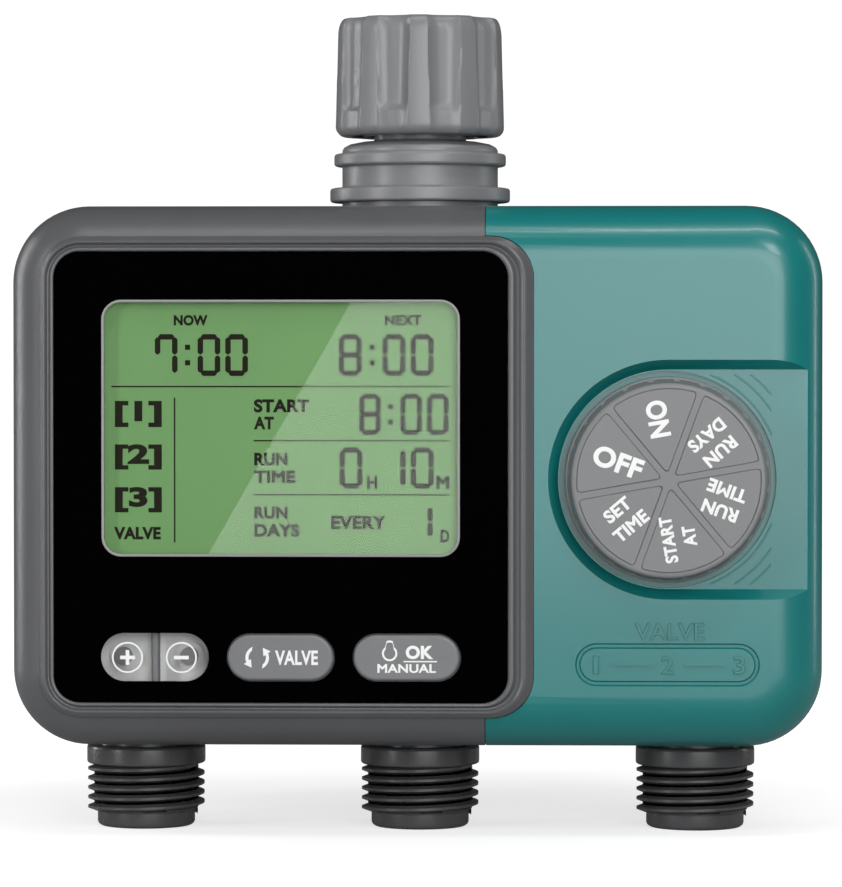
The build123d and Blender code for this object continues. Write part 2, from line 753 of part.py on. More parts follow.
# ---------------------------------------------------------------- control board and its switches
board_w = board_right - board_left
board_x = (board_left + board_right) / 2
with BuildPart() as control_board:
    with BuildSketch(facing_front(board_back, board_x)):
        RectangleRounded(board_w, 2 * board_half_height, 4.0)
    extrude(amount=board_thickness)
    with BuildSketch(facing_front(board_back)):
        with Locations(*standoffs):
            Circle(1.1)
        with Locations((dial_x, dial_z)):
            Circle(spindle_d / 2 + 0.6)
    extrude(amount=board_thickness, mode=Mode.SUBTRACT)
save(control_board, "control_board")

with BuildPart() as key_switches:
    with BuildSketch(facing_front(board_front)):
        with Locations(*switch_spots):
            RectangleRounded(6.0, 6.0, 0.5)
    extrude(amount=3.2)
    with BuildSketch(facing_front(board_front)):
        with Locations(*switch_spots):
            Circle(1.7)
    extrude(amount=board_front - carrier_front)
save(key_switches, "key_switches")

rotary_depth = 7.0
with BuildPart() as rotary_switch:
    with BuildSketch(facing_front(board_back, dial_x, dial_z)):
        RectangleRounded(18.0, 18.0, 2.0)
    extrude(amount=-rotary_depth)
    with BuildSketch(facing_front(board_back, dial_x, dial_z)):
        Circle(spindle_d / 2 + running_gap)
    extrude(amount=-(rotary_depth - 1.2), mode=Mode.SUBTRACT)
save(rotary_switch, "rotary_switch")

board_screws = screw_group(standoffs, board_back, 5.0, 0.85, 2.1, 1.5, 0.6)
save(board_screws, "board_screws")

# ---------------------------------------------------------------- selector dial
dial_back = floor_y - 0.5
dial_front = floor_y - dial_height
dial_r = dial_d / 2
face_r = dial_face_d / 2
dial_hub_r = spindle_d / 2 + spindle_bush_wall
dial_axis = Axis((dial_x, 0, case_mid + dial_z), (0, 1, 0))
dial_plane = Plane(origin=(dial_x, 0, case_mid + dial_z), x_dir=(1, 0, 0), z_dir=(0, 0, 1))
with BuildPart() as dial_knob:
    with BuildSketch(dial_plane):
        with BuildLine():
            Polyline((0, dial_front), (face_r - 0.8, dial_front), (face_r, dial_front + 0.8),
                     (dial_r - 0.4, dial_back - 2.2), (dial_r, dial_back - 1.8), (dial_r, dial_back),
                     (dial_r - 2.0, dial_back), (face_r - 2.2, dial_front + 2.4),
                     (dial_hub_r, dial_front + 2.4), (dial_hub_r, dial_back - 0.4),
                     (0, dial_back - 0.4), close=True)
        make_face()
    revolve(axis=dial_axis)
    # Notches round the rim
    with BuildSketch(facing_front(dial_back - 2.4, dial_x, dial_z)):
        with PolarLocations(dial_r + 0.1, dial_notch_count):
            Circle(1.1)
    extrude(amount=dial_height, mode=Mode.SUBTRACT)
    # Spokes between the legend pads
    with BuildSketch(facing_front(dial_front, dial_x, dial_z)):
        with PolarLocations(face_r / 2 - 0.9, dial_legend_count, start_angle=dial_first_spoke_deg):
            Rectangle(face_r - 1.8, dial_spoke_gap)
    extrude(amount=-0.6, mode=Mode.SUBTRACT)
    with BuildSketch(facing_front(dial_back, dial_x, dial_z)):
        Circle(spindle_d / 2)
    extrude(amount=dial_height - 3.0, mode=Mode.SUBTRACT)
save(dial_knob, "dial_knob")

with BuildPart() as dial_spindle:
    with BuildSketch(facing_front(dial_back - dial_height + 3.0, dial_x, dial_z)):
        Circle(spindle_d / 2)
    extrude(amount=-(board_back + rotary_depth - 1.6 - dial_back + dial_height - 3.0))
save(dial_spindle, "dial_spindle")

with BuildPart() as dial_seal:
    with BuildSketch(facing_front(floor_y, dial_x, dial_z)):
        Circle(spindle_d / 2 + spindle_seal_width)
        Circle(spindle_d / 2 + running_gap, mode=Mode.SUBTRACT)
    extrude(amount=-spindle_seal_depth)
save(dial_seal, "dial_seal")


# ---------------------------------------------------------------- inlet nut
ridge_count = 5


def ridges(crest_r, root_r, first_z, step):
    """Profiles of the thread's ridges, each with a flat crest, standing on the root."""
    out = 1 if crest_r > root_r else -1
    for i in range(ridge_count):
        z = first_z + i * step
        Polygon((root_r - out * 0.3, z - 0.95), (root_r, z - 0.95), (crest_r, z - 0.45),
                (crest_r, z + 0.45), (root_r, z + 0.95), (root_r - out * 0.3, z + 0.95), align=None)


upright = Plane.XZ
first_ridge = 0.95
lip_bottom = -washer_thickness - 4.0
with BuildPart() as coupling_nut:
    with BuildSketch(upright):
        with BuildLine():
            edge = Line((female_root_r, nut_bottom), (nut_low_r - 2.2, nut_bottom))
            low = RadiusArc(edge @ 1, (nut_low_r, nut_bottom + 2.2), -2.2)
            side = Line(low @ 1, (nut_top_r, nut_top - 4.0))
            crown = EllipticalCenterArc((nut_top_r - 1.7, nut_top - 4.0), 1.7, 4.0, 0, arc_size=90)
            Polyline(crown @ 1, (female_root_r + 0.6, nut_top), (female_root_r, nut_top - 0.8),
                     (female_root_r, nut_bottom))
        make_face()
    revolve(axis=Axis.Z)
    # Web under the stem's lip, cored out from below
    with BuildSketch(level(nut_bottom)):
        Circle(female_root_r + 0.5)
        Circle(stem_neck_r + 0.3, mode=Mode.SUBTRACT)
    extrude(amount=lip_bottom - 0.3 - nut_bottom)
    with BuildSketch(level(lip_bottom - 0.3)):
        Circle(nut_cavity_r)
    extrude(amount=-lip_bottom, mode=Mode.SUBTRACT)
    with BuildSketch(level(nut_bottom)):
        Circle(nut_low_r - 4.0)
        Circle(stem_neck_r + 2.0, mode=Mode.SUBTRACT)
    extrude(amount=5.0, mode=Mode.SUBTRACT)
    with BuildSketch(upright):
        ridges(female_crest_r, female_root_r, first_ridge, thread_pitch)
    revolve(axis=Axis.Z)
    # Finger scallops
    scallop_r = 8.0
    with BuildSketch(level(nut_bottom + 5.5)):
        with PolarLocations(nut_top_r + scallop_r - 1.5, nut_scallop_count,
                            start_angle=90 + 180 / nut_scallop_count):
            Circle(scallop_r)
    extrude(amount=nut_top - nut_bottom, mode=Mode.SUBTRACT)
save(coupling_nut, "coupling_nut")

# ---------------------------------------------------------------- inlet washer, filter and stem
screen_rim_r = 9.0
screen_cup_r = 7.4
screen_depth = 8.0
with BuildPart() as inlet_washer:
    with BuildSketch(level(-washer_thickness)):
        Circle(washer_r)
        Circle(screen_rim_r + 0.2, mode=Mode.SUBTRACT)
    extrude(amount=washer_thickness)
save(inlet_washer, "inlet_washer")

with BuildPart() as filter_screen:
    with BuildSketch(level(-washer_thickness)):
        Circle(screen_rim_r)
    extrude(amount=0.8)
    with BuildSketch(level(-washer_thickness)):
        Circle(screen_cup_r)
    extrude(amount=-screen_depth)
    with BuildSketch(level(-washer_thickness - screen_depth + 0.8)):
        Circle(screen_cup_r - 0.8)
    extrude(amount=2 * screen_depth, mode=Mode.SUBTRACT)
    with BuildSketch(level(-washer_thickness - screen_depth)):
        for ring_r, count in ((0.0, 1), (2.4, 6), (4.8, 12)):
            with PolarLocations(ring_r, count):
                Circle(0.75)
    extrude(amount=1.0, mode=Mode.SUBTRACT)
save(filter_screen, "filter_screen")

stem_collar_top = nut_bottom - 0.8
flange_1_top = nut_bottom - 4.0
flange_2_top = case_top + 4.7
flange_2_bottom = case_top + 1.4
spigot_bottom = case_top - case_wall - stem_spigot_length
inner_flange_top = case_top - case_wall - 0.2
inner_flange_bottom = case_top - case_wall - 3.0
groove_depth = 1.3
with BuildPart() as inlet_stem:
    with BuildSketch(upright):
        with BuildLine():
            Polyline((stem_bore_r, spigot_bottom), (stem_spigot_r, spigot_bottom),
                     (stem_spigot_r, inner_flange_bottom), (inner_flange_r, inner_flange_bottom),
                     (inner_flange_r, inner_flange_top), (stem_collar_r, inner_flange_top),
                     (stem_collar_r, flange_2_bottom), (flange_2_r, flange_2_bottom),
                     (flange_2_r, flange_2_top), (stem_collar_r, flange_2_top),
                     (stem_collar_r, flange_1_top - 2.9), (flange_1_r, flange_1_top - 2.9),
                     (flange_1_r, flange_1_top), (stem_collar_r, flange_1_top),
                     (stem_collar_r, stem_collar_top - 1.6), (stem_collar_r - 1.6, stem_collar_top),
                     (stem_neck_r, stem_collar_top), (stem_neck_r, lip_bottom), (stem_lip_r, lip_bottom),
                     (stem_lip_r, -washer_thickness), (stem_bore_r, -washer_thickness), close=True)
        make_face()
    revolve(axis=Axis.Z)
    with BuildSketch(level(spigot_bottom + 4.0)):
        Circle(stem_spigot_r + 1.0)
        Circle(stem_spigot_r - groove_depth, mode=Mode.SUBTRACT)
    extrude(amount=2.2, mode=Mode.SUBTRACT)
    flange_rims = inlet_stem.edges().filter_by(GeomType.CIRCLE).filter_by(
        lambda e: e.radius > flange_1_r - 0.1 and e.center().Z > case_top)
    fillet(flange_rims, 0.7)
save(inlet_stem, "inlet_stem")

with BuildPart() as stem_seal:
    with BuildSketch(level(spigot_bottom + 4.1)):
        Circle(stem_spigot_r + 0.14)
        Circle(stem_spigot_r - groove_depth + 0.02, mode=Mode.SUBTRACT)
    extrude(amount=2.0)
save(stem_seal, "stem_seal")

# ---------------------------------------------------------------- manifold
pipe_z = case_mid - pipe_below_middle
pipe_half = outlet_x + pipe_r
socket_top = valve_z - valve_chamber_r - 1.5
socket_foot = -half_h + case_wall + 3.3
duct_r = 5.0
duct_y = -6.0
valve_front_y = duct_y - duct_r - 2.0
chamber_floor_y = 1.0
diaphragm_step = 1.2
with BuildPart() as manifold:
    with BuildSketch(Plane(origin=(-pipe_half, 0, pipe_z), x_dir=(0, 1, 0), z_dir=(1, 0, 0))):
        Circle(pipe_r)
    extrude(amount=2 * pipe_half)
    with BuildSketch(level(case_top - case_wall - 3.4)):
        Circle(riser_r)
    extrude(amount=-(case_top - case_wall - 3.4 - pipe_z))
    for x in sides.values():
        with BuildSketch(facing_front(valve_face_y, x, valve_z)):
            Circle(valve_r)
        extrude(amount=valve_face_y - valve_front_y)
        with BuildSketch(facing_front(valve_face_y, x, valve_z)):
            with Locations(*ears):
                Circle(ear_r)
        extrude(amount=7.0)
        with BuildSketch(level(pipe_z, x)):
            Circle(pipe_r - 1.0)
        extrude(amount=valve_z + case_mid - pipe_z)
        with BuildSketch(level(case_mid + socket_foot, x)):
            Circle(outlet_spigot_r + 3.0)
        extrude(amount=valve_z - socket_foot)
    # Flat face for each bonnet
    with BuildSketch(facing_front(valve_face_y, 0, valve_z)):
        for x in sides.values():
            with Locations((x, 0)):
                Circle(valve_r + 0.3)
            with Locations(*[(x + dx, dz) for dx, dz in ears]):
                Circle(ear_r + 0.3)
    extrude(amount=-case_depth, mode=Mode.SUBTRACT)
    # Waterways
    with BuildSketch(Plane(origin=(-outlet_x - 7.0, 0, pipe_z), x_dir=(0, 1, 0), z_dir=(1, 0, 0))):
        Circle(pipe_bore_r)
    extrude(amount=2 * (outlet_x + 7.0), mode=Mode.SUBTRACT)
    with BuildSketch(level(pipe_z)):
        Circle(pipe_bore_r)
    extrude(amount=case_height, mode=Mode.SUBTRACT)
    with BuildSketch(level(spigot_bottom - 0.3)):
        Circle(stem_spigot_r + 0.15)
    extrude(amount=case_height, mode=Mode.SUBTRACT)
    for x in sides.values():
        with BuildSketch(facing_front(chamber_floor_y, x, valve_z)):
            Circle(valve_chamber_r)
            Circle(duct_r + 2.0, mode=Mode.SUBTRACT)
        extrude(amount=-(valve_face_y - chamber_floor_y), mode=Mode.SUBTRACT)
        with BuildSketch(facing_front(valve_face_y - diaphragm_step, x, valve_z)):
            Circle(valve_r - 1.8)
        extrude(amount=-2 * diaphragm_step, mode=Mode.SUBTRACT)
        with BuildSketch(facing_front(duct_y, x, valve_z)):
            Circle(duct_r)
        extrude(amount=-2 * valve_face_y, mode=Mode.SUBTRACT)
        with BuildSketch(level(case_mid + valve_z, x, duct_y)):
            Circle(duct_r)
        extrude(amount=socket_foot - valve_z, mode=Mode.SUBTRACT)
        with BuildSketch(level(case_mid + socket_foot, x)):
            Circle(outlet_spigot_r + 0.15)
        extrude(amount=socket_top - socket_foot, mode=Mode.SUBTRACT)
        with BuildSketch(level(pipe_z - pipe_bore_r / 2, x, (chamber_floor_y + valve_face_y) / 2)):
            Circle((valve_face_y - chamber_floor_y) / 2 - 0.4)
        extrude(amount=valve_z + valve_chamber_r - 1.0 + case_mid - pipe_z + pipe_bore_r / 2,
                mode=Mode.SUBTRACT)
        with BuildSketch(facing_front(valve_face_y - 6.0, x, valve_z)):
            with Locations(*ears):
                Circle(1.25)
        extrude(amount=-2 * valve_face_y, mode=Mode.SUBTRACT)
save(manifold, "manifold")

# ---------------------------------------------------------------- valves
guide_end = rear_y - case_wall - 2.2
bonnet_back = valve_face_y + bonnet_thickness
pilot_y = bonnet_back - 0.5
bonnet_cavity_r = 11.0
bonnet_cavity_depth = 2.2
plunger_length = 8.0
spring_wire_r = 0.35
spring_turns = 5
for side, x in sides.items():
    with BuildPart() as diaphragm:
        with BuildSketch(facing_front(valve_face_y, x, valve_z)):
            Circle(valve_r - 2.0)
        extrude(amount=diaphragm_step)
        with BuildSketch(facing_front(valve_face_y, x, valve_z)):
            Circle(duct_r + 1.2)
        extrude(amount=-1.5)
    save(diaphragm, f"diaphragm_{side}")

    with BuildPart() as bonnet:
        with BuildSketch(facing_front(valve_face_y, x, valve_z)):
            Circle(valve_r)
        extrude(amount=-bonnet_thickness)
        with BuildSketch(facing_front(valve_face_y, x, valve_z)):
            with Locations(*ears):
                Circle(ear_r)
        extrude(amount=-bonnet_thickness)
        with BuildSketch(facing_front(valve_face_y, x, valve_z)):
            Circle(guide_r)
        extrude(amount=-(guide_end - valve_face_y))
        with BuildSketch(facing_front(valve_face_y, x, valve_z)):
            Circle(bonnet_cavity_r)
        extrude(amount=-bonnet_cavity_depth, mode=Mode.SUBTRACT)
        with BuildSketch(facing_front(pilot_y, x, valve_z)):
            Circle(guide_bore_r)
        extrude(amount=-(guide_end - 1.2 - pilot_y), mode=Mode.SUBTRACT)
        with BuildSketch(facing_front(valve_face_y, x, valve_z)):
            Circle(0.6)
        extrude(amount=-bonnet_thickness, mode=Mode.SUBTRACT)
        with BuildSketch(facing_front(valve_face_y, x, valve_z)):
            with Locations(*ears):
                Circle(1.6)
        extrude(amount=-bonnet_thickness, mode=Mode.SUBTRACT)
    save(bonnet, f"bonnet_{side}")

    with BuildPart() as plunger:
        with BuildSketch(facing_front(pilot_y + 0.05, x, valve_z)):
            Circle(plunger_r)
        extrude(amount=-plunger_length)
    save(plunger, f"plunger_{side}")

    spring_start = pilot_y + 0.05 + plunger_length + spring_wire_r + 0.02
    spring_height = guide_end - 1.2 - spring_wire_r - 0.02 - spring_start
    with BuildPart() as plunger_spring:
        with BuildLine():
            coil = Helix(pitch=spring_height / spring_turns, height=spring_height,
                         radius=plunger_r - 0.9, center=(x, spring_start, case_mid + valve_z),
                         direction=(0, 1, 0))
        with BuildSketch(Plane(origin=coil @ 0, z_dir=coil % 0)):
            Circle(spring_wire_r)
        sweep(path=coil)
    save(plunger_spring, f"plunger_spring_{side}")

    with BuildPart() as solenoid_coil:
        coil_front = bonnet_back + 0.3
        coil_back = guide_end - 1.6
        with BuildSketch(facing_front(coil_front, x, valve_z)):
            Circle(coil_r)
        extrude(amount=-(coil_back - coil_front))
        with BuildSketch(facing_front(coil_front + 1.2, x, valve_z)):
            Circle(coil_r + 1.0)
            Circle(coil_r - 1.0, mode=Mode.SUBTRACT)
        extrude(amount=-(coil_back - coil_front - 2.4), mode=Mode.SUBTRACT)
        # Terminal block on the side that faces the middle of the case
        inward = -1 if x > 0 else 1
        with BuildSketch(facing_front(coil_front + 1.2, x + inward * coil_r, valve_z)):
            Rectangle(6.0, 7.0)
        extrude(amount=-(coil_back - coil_front - 2.4))
        with BuildSketch(facing_front(coil_front, x, valve_z)):
            Circle(guide_r + 0.1)
        extrude(amount=-(coil_back - coil_front), mode=Mode.SUBTRACT)
    save(solenoid_coil, f"solenoid_coil_{side}")

bonnet_spots = [(x + dx, valve_z + dz) for x in sides.values() for dx, dz in ears]
bonnet_screws = screw_group(bonnet_spots, bonnet_back, 9.5, 1.2, 2.6, 1.8, 0.7)
save(bonnet_screws, "bonnet_screws")

# ---------------------------------------------------------------- outlets
ring_top = case_bottom - 1.6
ring_bottom = case_bottom - 6.0
first_crest = case_bottom - 7.1
tip = case_bottom - outlet_length
for side, x in sides.items():
    outlet_plane = Plane(origin=(x, 0, 0), x_dir=(1, 0, 0), z_dir=(0, -1, 0))
    outlet_axis = Axis((x, 0, 0), (0, 0, 1))
    spigot_top = case_mid + socket_top - 0.5
    flange_bottom = case_bottom + case_wall + 0.2
    with BuildPart() as outlet:
        with BuildSketch(outlet_plane):
            with BuildLine():
                Polyline((outlet_bore_r, spigot_top), (outlet_spigot_r, spigot_top),
                         (outlet_spigot_r, flange_bottom + 1.8), (outlet_flange_r, flange_bottom + 1.8),
                         (outlet_flange_r, flange_bottom), (outlet_neck_r, flange_bottom),
                         (outlet_neck_r, ring_top), (outlet_ring_r - 0.8, ring_top),
                         (outlet_ring_r, ring_top - 0.8), (outlet_ring_r, ring_bottom),
                         (male_root_r, ring_bottom), (male_root_r, tip + 4.2), (outlet_tip_r, tip + 3.4),
                         (outlet_tip_r, tip + 1.0), (outlet_tip_r - 1.0, tip), (outlet_bore_r, tip),
                         close=True)
            make_face()
        revolve(axis=outlet_axis)
        with BuildSketch(outlet_plane):
            ridges(male_crest_r, male_root_r, first_crest, -thread_pitch)
        revolve(axis=outlet_axis)
    save(outlet, f"outlet_{side}")

with BuildPart() as outlet_seals:
    with BuildSketch(level(flange_bottom + 1.8)):
        with Locations(*[(x, 0) for x in sides.values()]):
            Circle(outlet_flange_r - 0.6)
            Circle(outlet_spigot_r + 0.15, mode=Mode.SUBTRACT)
    extrude(amount=case_mid + socket_foot - flange_bottom - 1.8)
save(outlet_seals, "outlet_seals")

# ---------------------------------------------------------------- leads from the coils to the board
lead_r = 0.9
lead_out = 24.0
lead_y = (bonnet_back + guide_end) / 2
with BuildPart() as valve_leads:
    for x in sides.values():
        inward = -1 if x > 0 else 1
        start = (x + inward * (coil_r + 3.0), lead_y, case_mid + valve_z)
        corner = (x + inward * lead_out, lead_y, case_mid + valve_z)
        end = (x + inward * lead_out, board_back, case_mid + valve_z)
        with BuildLine() as route:
            FilletPolyline(start, corner, end, radius=5.0)
        with BuildSketch(Plane(origin=start, z_dir=(inward, 0, 0))):
            Circle(lead_r)
        sweep(path=route.line)
save(valve_leads, "valve_leads")
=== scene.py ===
"""Three-outlet drip irrigation timer: the finished look of each piece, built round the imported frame."""
import json
import math

import bmesh
import bpy
from mathutils import Matrix, Vector

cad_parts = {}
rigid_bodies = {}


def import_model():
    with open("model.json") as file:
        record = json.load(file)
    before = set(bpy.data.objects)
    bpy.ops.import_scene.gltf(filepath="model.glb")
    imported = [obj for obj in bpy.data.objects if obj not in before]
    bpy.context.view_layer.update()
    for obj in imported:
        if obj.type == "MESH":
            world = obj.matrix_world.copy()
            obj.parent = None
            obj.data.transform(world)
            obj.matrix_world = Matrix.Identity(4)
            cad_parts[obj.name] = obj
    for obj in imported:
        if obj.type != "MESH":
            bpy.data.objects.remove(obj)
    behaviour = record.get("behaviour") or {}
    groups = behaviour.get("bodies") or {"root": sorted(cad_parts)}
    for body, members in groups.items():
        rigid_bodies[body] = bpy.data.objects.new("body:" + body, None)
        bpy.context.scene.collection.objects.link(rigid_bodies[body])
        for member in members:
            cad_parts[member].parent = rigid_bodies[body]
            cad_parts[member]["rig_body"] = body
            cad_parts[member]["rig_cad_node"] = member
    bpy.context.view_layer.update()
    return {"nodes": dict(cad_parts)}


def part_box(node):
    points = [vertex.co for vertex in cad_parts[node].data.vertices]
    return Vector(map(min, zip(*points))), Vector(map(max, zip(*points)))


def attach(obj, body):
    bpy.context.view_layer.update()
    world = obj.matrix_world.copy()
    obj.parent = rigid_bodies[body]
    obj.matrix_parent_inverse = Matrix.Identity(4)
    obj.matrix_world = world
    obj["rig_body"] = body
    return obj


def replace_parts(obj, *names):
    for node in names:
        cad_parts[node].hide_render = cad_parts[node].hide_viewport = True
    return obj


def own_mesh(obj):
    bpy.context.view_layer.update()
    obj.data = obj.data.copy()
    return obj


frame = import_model()

# ---------------------------------------------------------------- rear cover
# The rear half of the case: injection-moulded grey ABS, 2.6 mm thick, with rolled edges.
# It has a sunk seat for the battery door, half of the door's hinge and eight deep screw wells.
mm = 0.001
wall = 2.6 * mm
corner_r = 17.3 * mm
edge_r = 12.0 * mm


def pick(piece):
    """Leave edit mode and select this piece alone."""
    if bpy.context.mode != "OBJECT":
        bpy.ops.object.mode_set(mode="OBJECT")
    bpy.ops.object.select_all(action="DESELECT")
    if piece:
        piece.select_set(True)
        bpy.context.view_layer.objects.active = piece


def started(name):
    """Name the primitive that was just added and bake its place into its mesh."""
    piece = bpy.context.active_object
    piece.name = piece.data.name = name
    bpy.ops.object.transform_apply(location=True, rotation=True, scale=True)
    return piece


def choose(piece, kind, test):
    """Go into edit mode with only the vertices, edges or faces selected that pass the test."""
    pick(piece)
    bpy.ops.object.mode_set(mode="EDIT")
    bpy.ops.mesh.select_mode(type=kind)
    bpy.ops.mesh.select_all(action="DESELECT")
    form = bmesh.from_edit_mesh(piece.data)
    for part in {"VERT": form.verts, "EDGE": form.edges, "FACE": form.faces}[kind]:
        if test(part):
            part.select_set(True)
    bmesh.update_edit_mesh(piece.data)


def modify(piece, kind, **settings):
    """Add a modifier with these settings and apply it."""
    pick(piece)
    tool = piece.modifiers.new(kind, kind)
    for key, value in settings.items():
        setattr(tool, key, value)
    bpy.ops.object.modifier_apply(modifier=tool.name)


def combine(piece, tool, operation="DIFFERENCE"):
    """Cut a tool away from a piece, join it on, or keep what they share; the tool is used up."""
    modify(piece, "BOOLEAN", object=tool, operation=operation, solver="EXACT")
    bpy.data.objects.remove(tool, do_unlink=True)
    return piece


def block(name, low, high, round_r=0.0, rim_r=0.0, rims=(), steps=16):
    """Box from corner to corner; its front-to-back edges are rounded, then the named rims rolled."""
    pick(None)
    bpy.ops.mesh.primitive_cube_add(size=1, location=(Vector(low) + Vector(high)) / 2,
                                    scale=Vector(high) - Vector(low))
    piece = started(name)
    if round_r:
        choose(piece, "EDGE", lambda e: abs(e.verts[0].co.y - e.verts[1].co.y) > 1e-7)
        bpy.ops.mesh.bevel(offset=round_r, segments=steps, affect="EDGES", clamp_overlap=False)
        bpy.ops.mesh.remove_doubles(threshold=1e-7)
    for y in [{"front": low[1], "rear": high[1]}[rim] for rim in rims]:
        choose(piece, "EDGE", lambda e: all(abs(v.co.y - y) < 1e-7 for v in e.verts))
        bpy.ops.mesh.bevel(offset=rim_r, segments=max(3, steps * 3 // 4), affect="EDGES",
                           clamp_overlap=False)
    pick(piece)
    return piece


def drum(name, centre, radius, depth, axis="Y", steps=64, tip_r=None):
    """Round bar about a centre, along one axis; its far end may have another radius."""
    pick(None)
    turn = {"X": (0, math.pi / 2, 0), "Y": (-math.pi / 2, 0, 0), "Z": (0, 0, 0)}[axis]
    bpy.ops.mesh.primitive_cone_add(vertices=steps, radius1=radius, depth=depth, location=centre,
                                    radius2=radius if tip_r is None else tip_r, rotation=turn)
    return started(name)


def joined(name, parts):
    """Several pieces as one."""
    pick(parts[0])
    for part in parts[1:]:
        part.select_set(True)
    bpy.ops.object.join()
    parts[0].name = parts[0].data.name = name
    return parts[0]


def soften(piece, angle=30, bevel=0.0, segments=2):
    """Take the sharpness off the edges, then smooth the curved faces and keep the flats flat."""
    if bevel:
        modify(piece, "BEVEL", width=bevel, segments=segments, limit_method="ANGLE",
               angle_limit=math.radians(angle), use_clamp_overlap=True, harden_normals=False)
    pick(piece)
    bpy.ops.object.shade_smooth_by_angle(angle=math.radians(angle))
    modify(piece, "WEIGHTED_NORMAL", keep_sharp=True, weight=60)
    return piece


def moulded(name, colour, roughness, grain=0.25, tone=0.10, grain_size=0.35, specular=0.5, coat=0.0):
    """Moulded plastic: fine spark-eroded grain, faint flow marks in its colour and uneven gloss."""
    material = bpy.data.materials.new(name)
    material.use_nodes = True
    nodes, links = material.node_tree.nodes, material.node_tree.links
    shader = nodes["Principled BSDF"]
    shader.inputs["Specular IOR Level"].default_value = specular
    shader.inputs["Coat Weight"].default_value = coat
    shader.inputs["Coat Roughness"].default_value = 0.12
    place = nodes.new("ShaderNodeTexCoord")
    stretch = nodes.new("ShaderNodeMapping")
    stretch.inputs["Scale"].default_value = (1.0, 1.0, 0.45)
    links.new(place.outputs["Object"], stretch.inputs["Vector"])
    flow = nodes.new("ShaderNodeTexNoise")
    flow.inputs["Scale"].default_value = 32.0
    flow.inputs["Detail"].default_value = 6.0
    flow.inputs["Distortion"].default_value = 0.6
    links.new(stretch.outputs["Vector"], flow.inputs["Vector"])
    pits = nodes.new("ShaderNodeTexNoise")
    pits.inputs["Scale"].default_value = 1.0 / (grain_size * mm)
    pits.inputs["Detail"].default_value = 4.0
    pits.inputs["Roughness"].default_value = 0.65
    links.new(place.outputs["Object"], pits.inputs["Vector"])
    blend = nodes.new("ShaderNodeMix")
    blend.inputs["Factor"].default_value = 0.35
    links.new(flow.outputs["Fac"], blend.inputs["A"])
    links.new(pits.outputs["Fac"], blend.inputs["B"])
    paint = nodes.new("ShaderNodeValToRGB")
    paint.color_ramp.elements[0].position = 0.3
    paint.color_ramp.elements[1].position = 0.7
    paint.color_ramp.elements[0].color = [c * (1 - tone) for c in colour] + [1]
    paint.color_ramp.elements[1].color = [min(1, c * (1 + tone)) for c in colour] + [1]
    links.new(blend.outputs["Result"], paint.inputs["Fac"])
    links.new(paint.outputs["Color"], shader.inputs["Base Color"])
    gloss = nodes.new("ShaderNodeMapRange")
    gloss.inputs["To Min"].default_value = roughness * 0.85
    gloss.inputs["To Max"].default_value = min(1.0, roughness * 1.2)
    links.new(flow.outputs["Fac"], gloss.inputs["Value"])
    links.new(gloss.outputs["Result"], shader.inputs["Roughness"])
    relief = nodes.new("ShaderNodeBump")
    relief.inputs["Strength"].default_value = grain
    relief.inputs["Distance"].default_value = 0.04 * mm
    links.new(pits.outputs["Fac"], relief.inputs["Height"])
    links.new(relief.outputs["Normal"], shader.inputs["Normal"])
    return material


def dress(piece, material):
    """Give a piece this one finish."""
    piece.data.materials.clear()
    piece.data.materials.append(material)
    return piece


grey_low, grey_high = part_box("front_cover_grey")
teal_low, teal_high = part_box("front_cover_teal")
case_front, case_rear = teal_low.y, -teal_low.y
case_low = Vector((grey_low.x, case_front, teal_low.z))
case_high = Vector((teal_high.x, case_rear, teal_high.z))
case_mid = (case_low.z + case_high.z) / 2
half_w = case_high.x
half_h = case_high.z - case_mid
outlet_x = {side: sum(c.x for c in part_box(f"outlet_{side}")) / 2 for side in ("left", "middle", "right")}
stem_collar_r = 17.95 * mm
outlet_neck_r = 11.2 * mm
neck_gap = 0.25 * mm


def case_half(name, y_from, y_to):
    """The hollow case between two depths, with the openings for the inlet stem and the outlets."""
    inset = Vector((wall, wall, wall))
    shell = block(name, case_low, case_high, corner_r, edge_r, ("front", "rear"))
    hollow = block("hollow", case_low + inset, case_high - inset, corner_r - wall, edge_r - wall,
                   ("front", "rear"))
    combine(shell, hollow)
    reach = 2 * half_w
    combine(shell, block("half", (-reach, y_from, case_mid - reach), (reach, y_to, case_mid + reach)),
            "INTERSECT")
    combine(shell, drum("stem_way", (0, 0, case_high.z), stem_collar_r + neck_gap, 6 * wall, "Z", 128))
    for x in outlet_x.values():
        combine(shell, drum("outlet_way", (x, 0, case_low.z), outlet_neck_r + neck_gap, 6 * wall, "Z", 96))
    return shell


door_low, door_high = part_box("battery_door")
cells_low, cells_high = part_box("battery_box")
pin_low, pin_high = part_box("door_hinge_pin")
hinge = (pin_low + pin_high) / 2
knuckle_r = 2.6 * mm
knuckle_length = 5.0 * mm
knuckle_space = 0.3 * mm
hinge_spread = 20.0 * mm
door_left = hinge.x + 3.0 * mm
door_thickness = 2.0 * mm
door_gap = 0.25 * mm
seat_y = case_rear - door_thickness - 0.2 * mm
knuckle_rows = [hinge.z - hinge_spread, hinge.z + hinge_spread]
screw_spots = [(-half_w + 8.0 * mm, half_h - 10.0 * mm), (-half_w + 7.0 * mm, -half_h + 17.0 * mm),
               (half_w - 8.0 * mm, half_h - 10.0 * mm), (half_w - 7.0 * mm, -half_h + 17.0 * mm),
               (outlet_x["left"] / 2, half_h - 7.0 * mm), (outlet_x["right"] / 2, half_h - 7.0 * mm),
               (outlet_x["left"] / 2, -half_h + 7.0 * mm), (outlet_x["right"] / 2, -half_h + 7.0 * mm)]

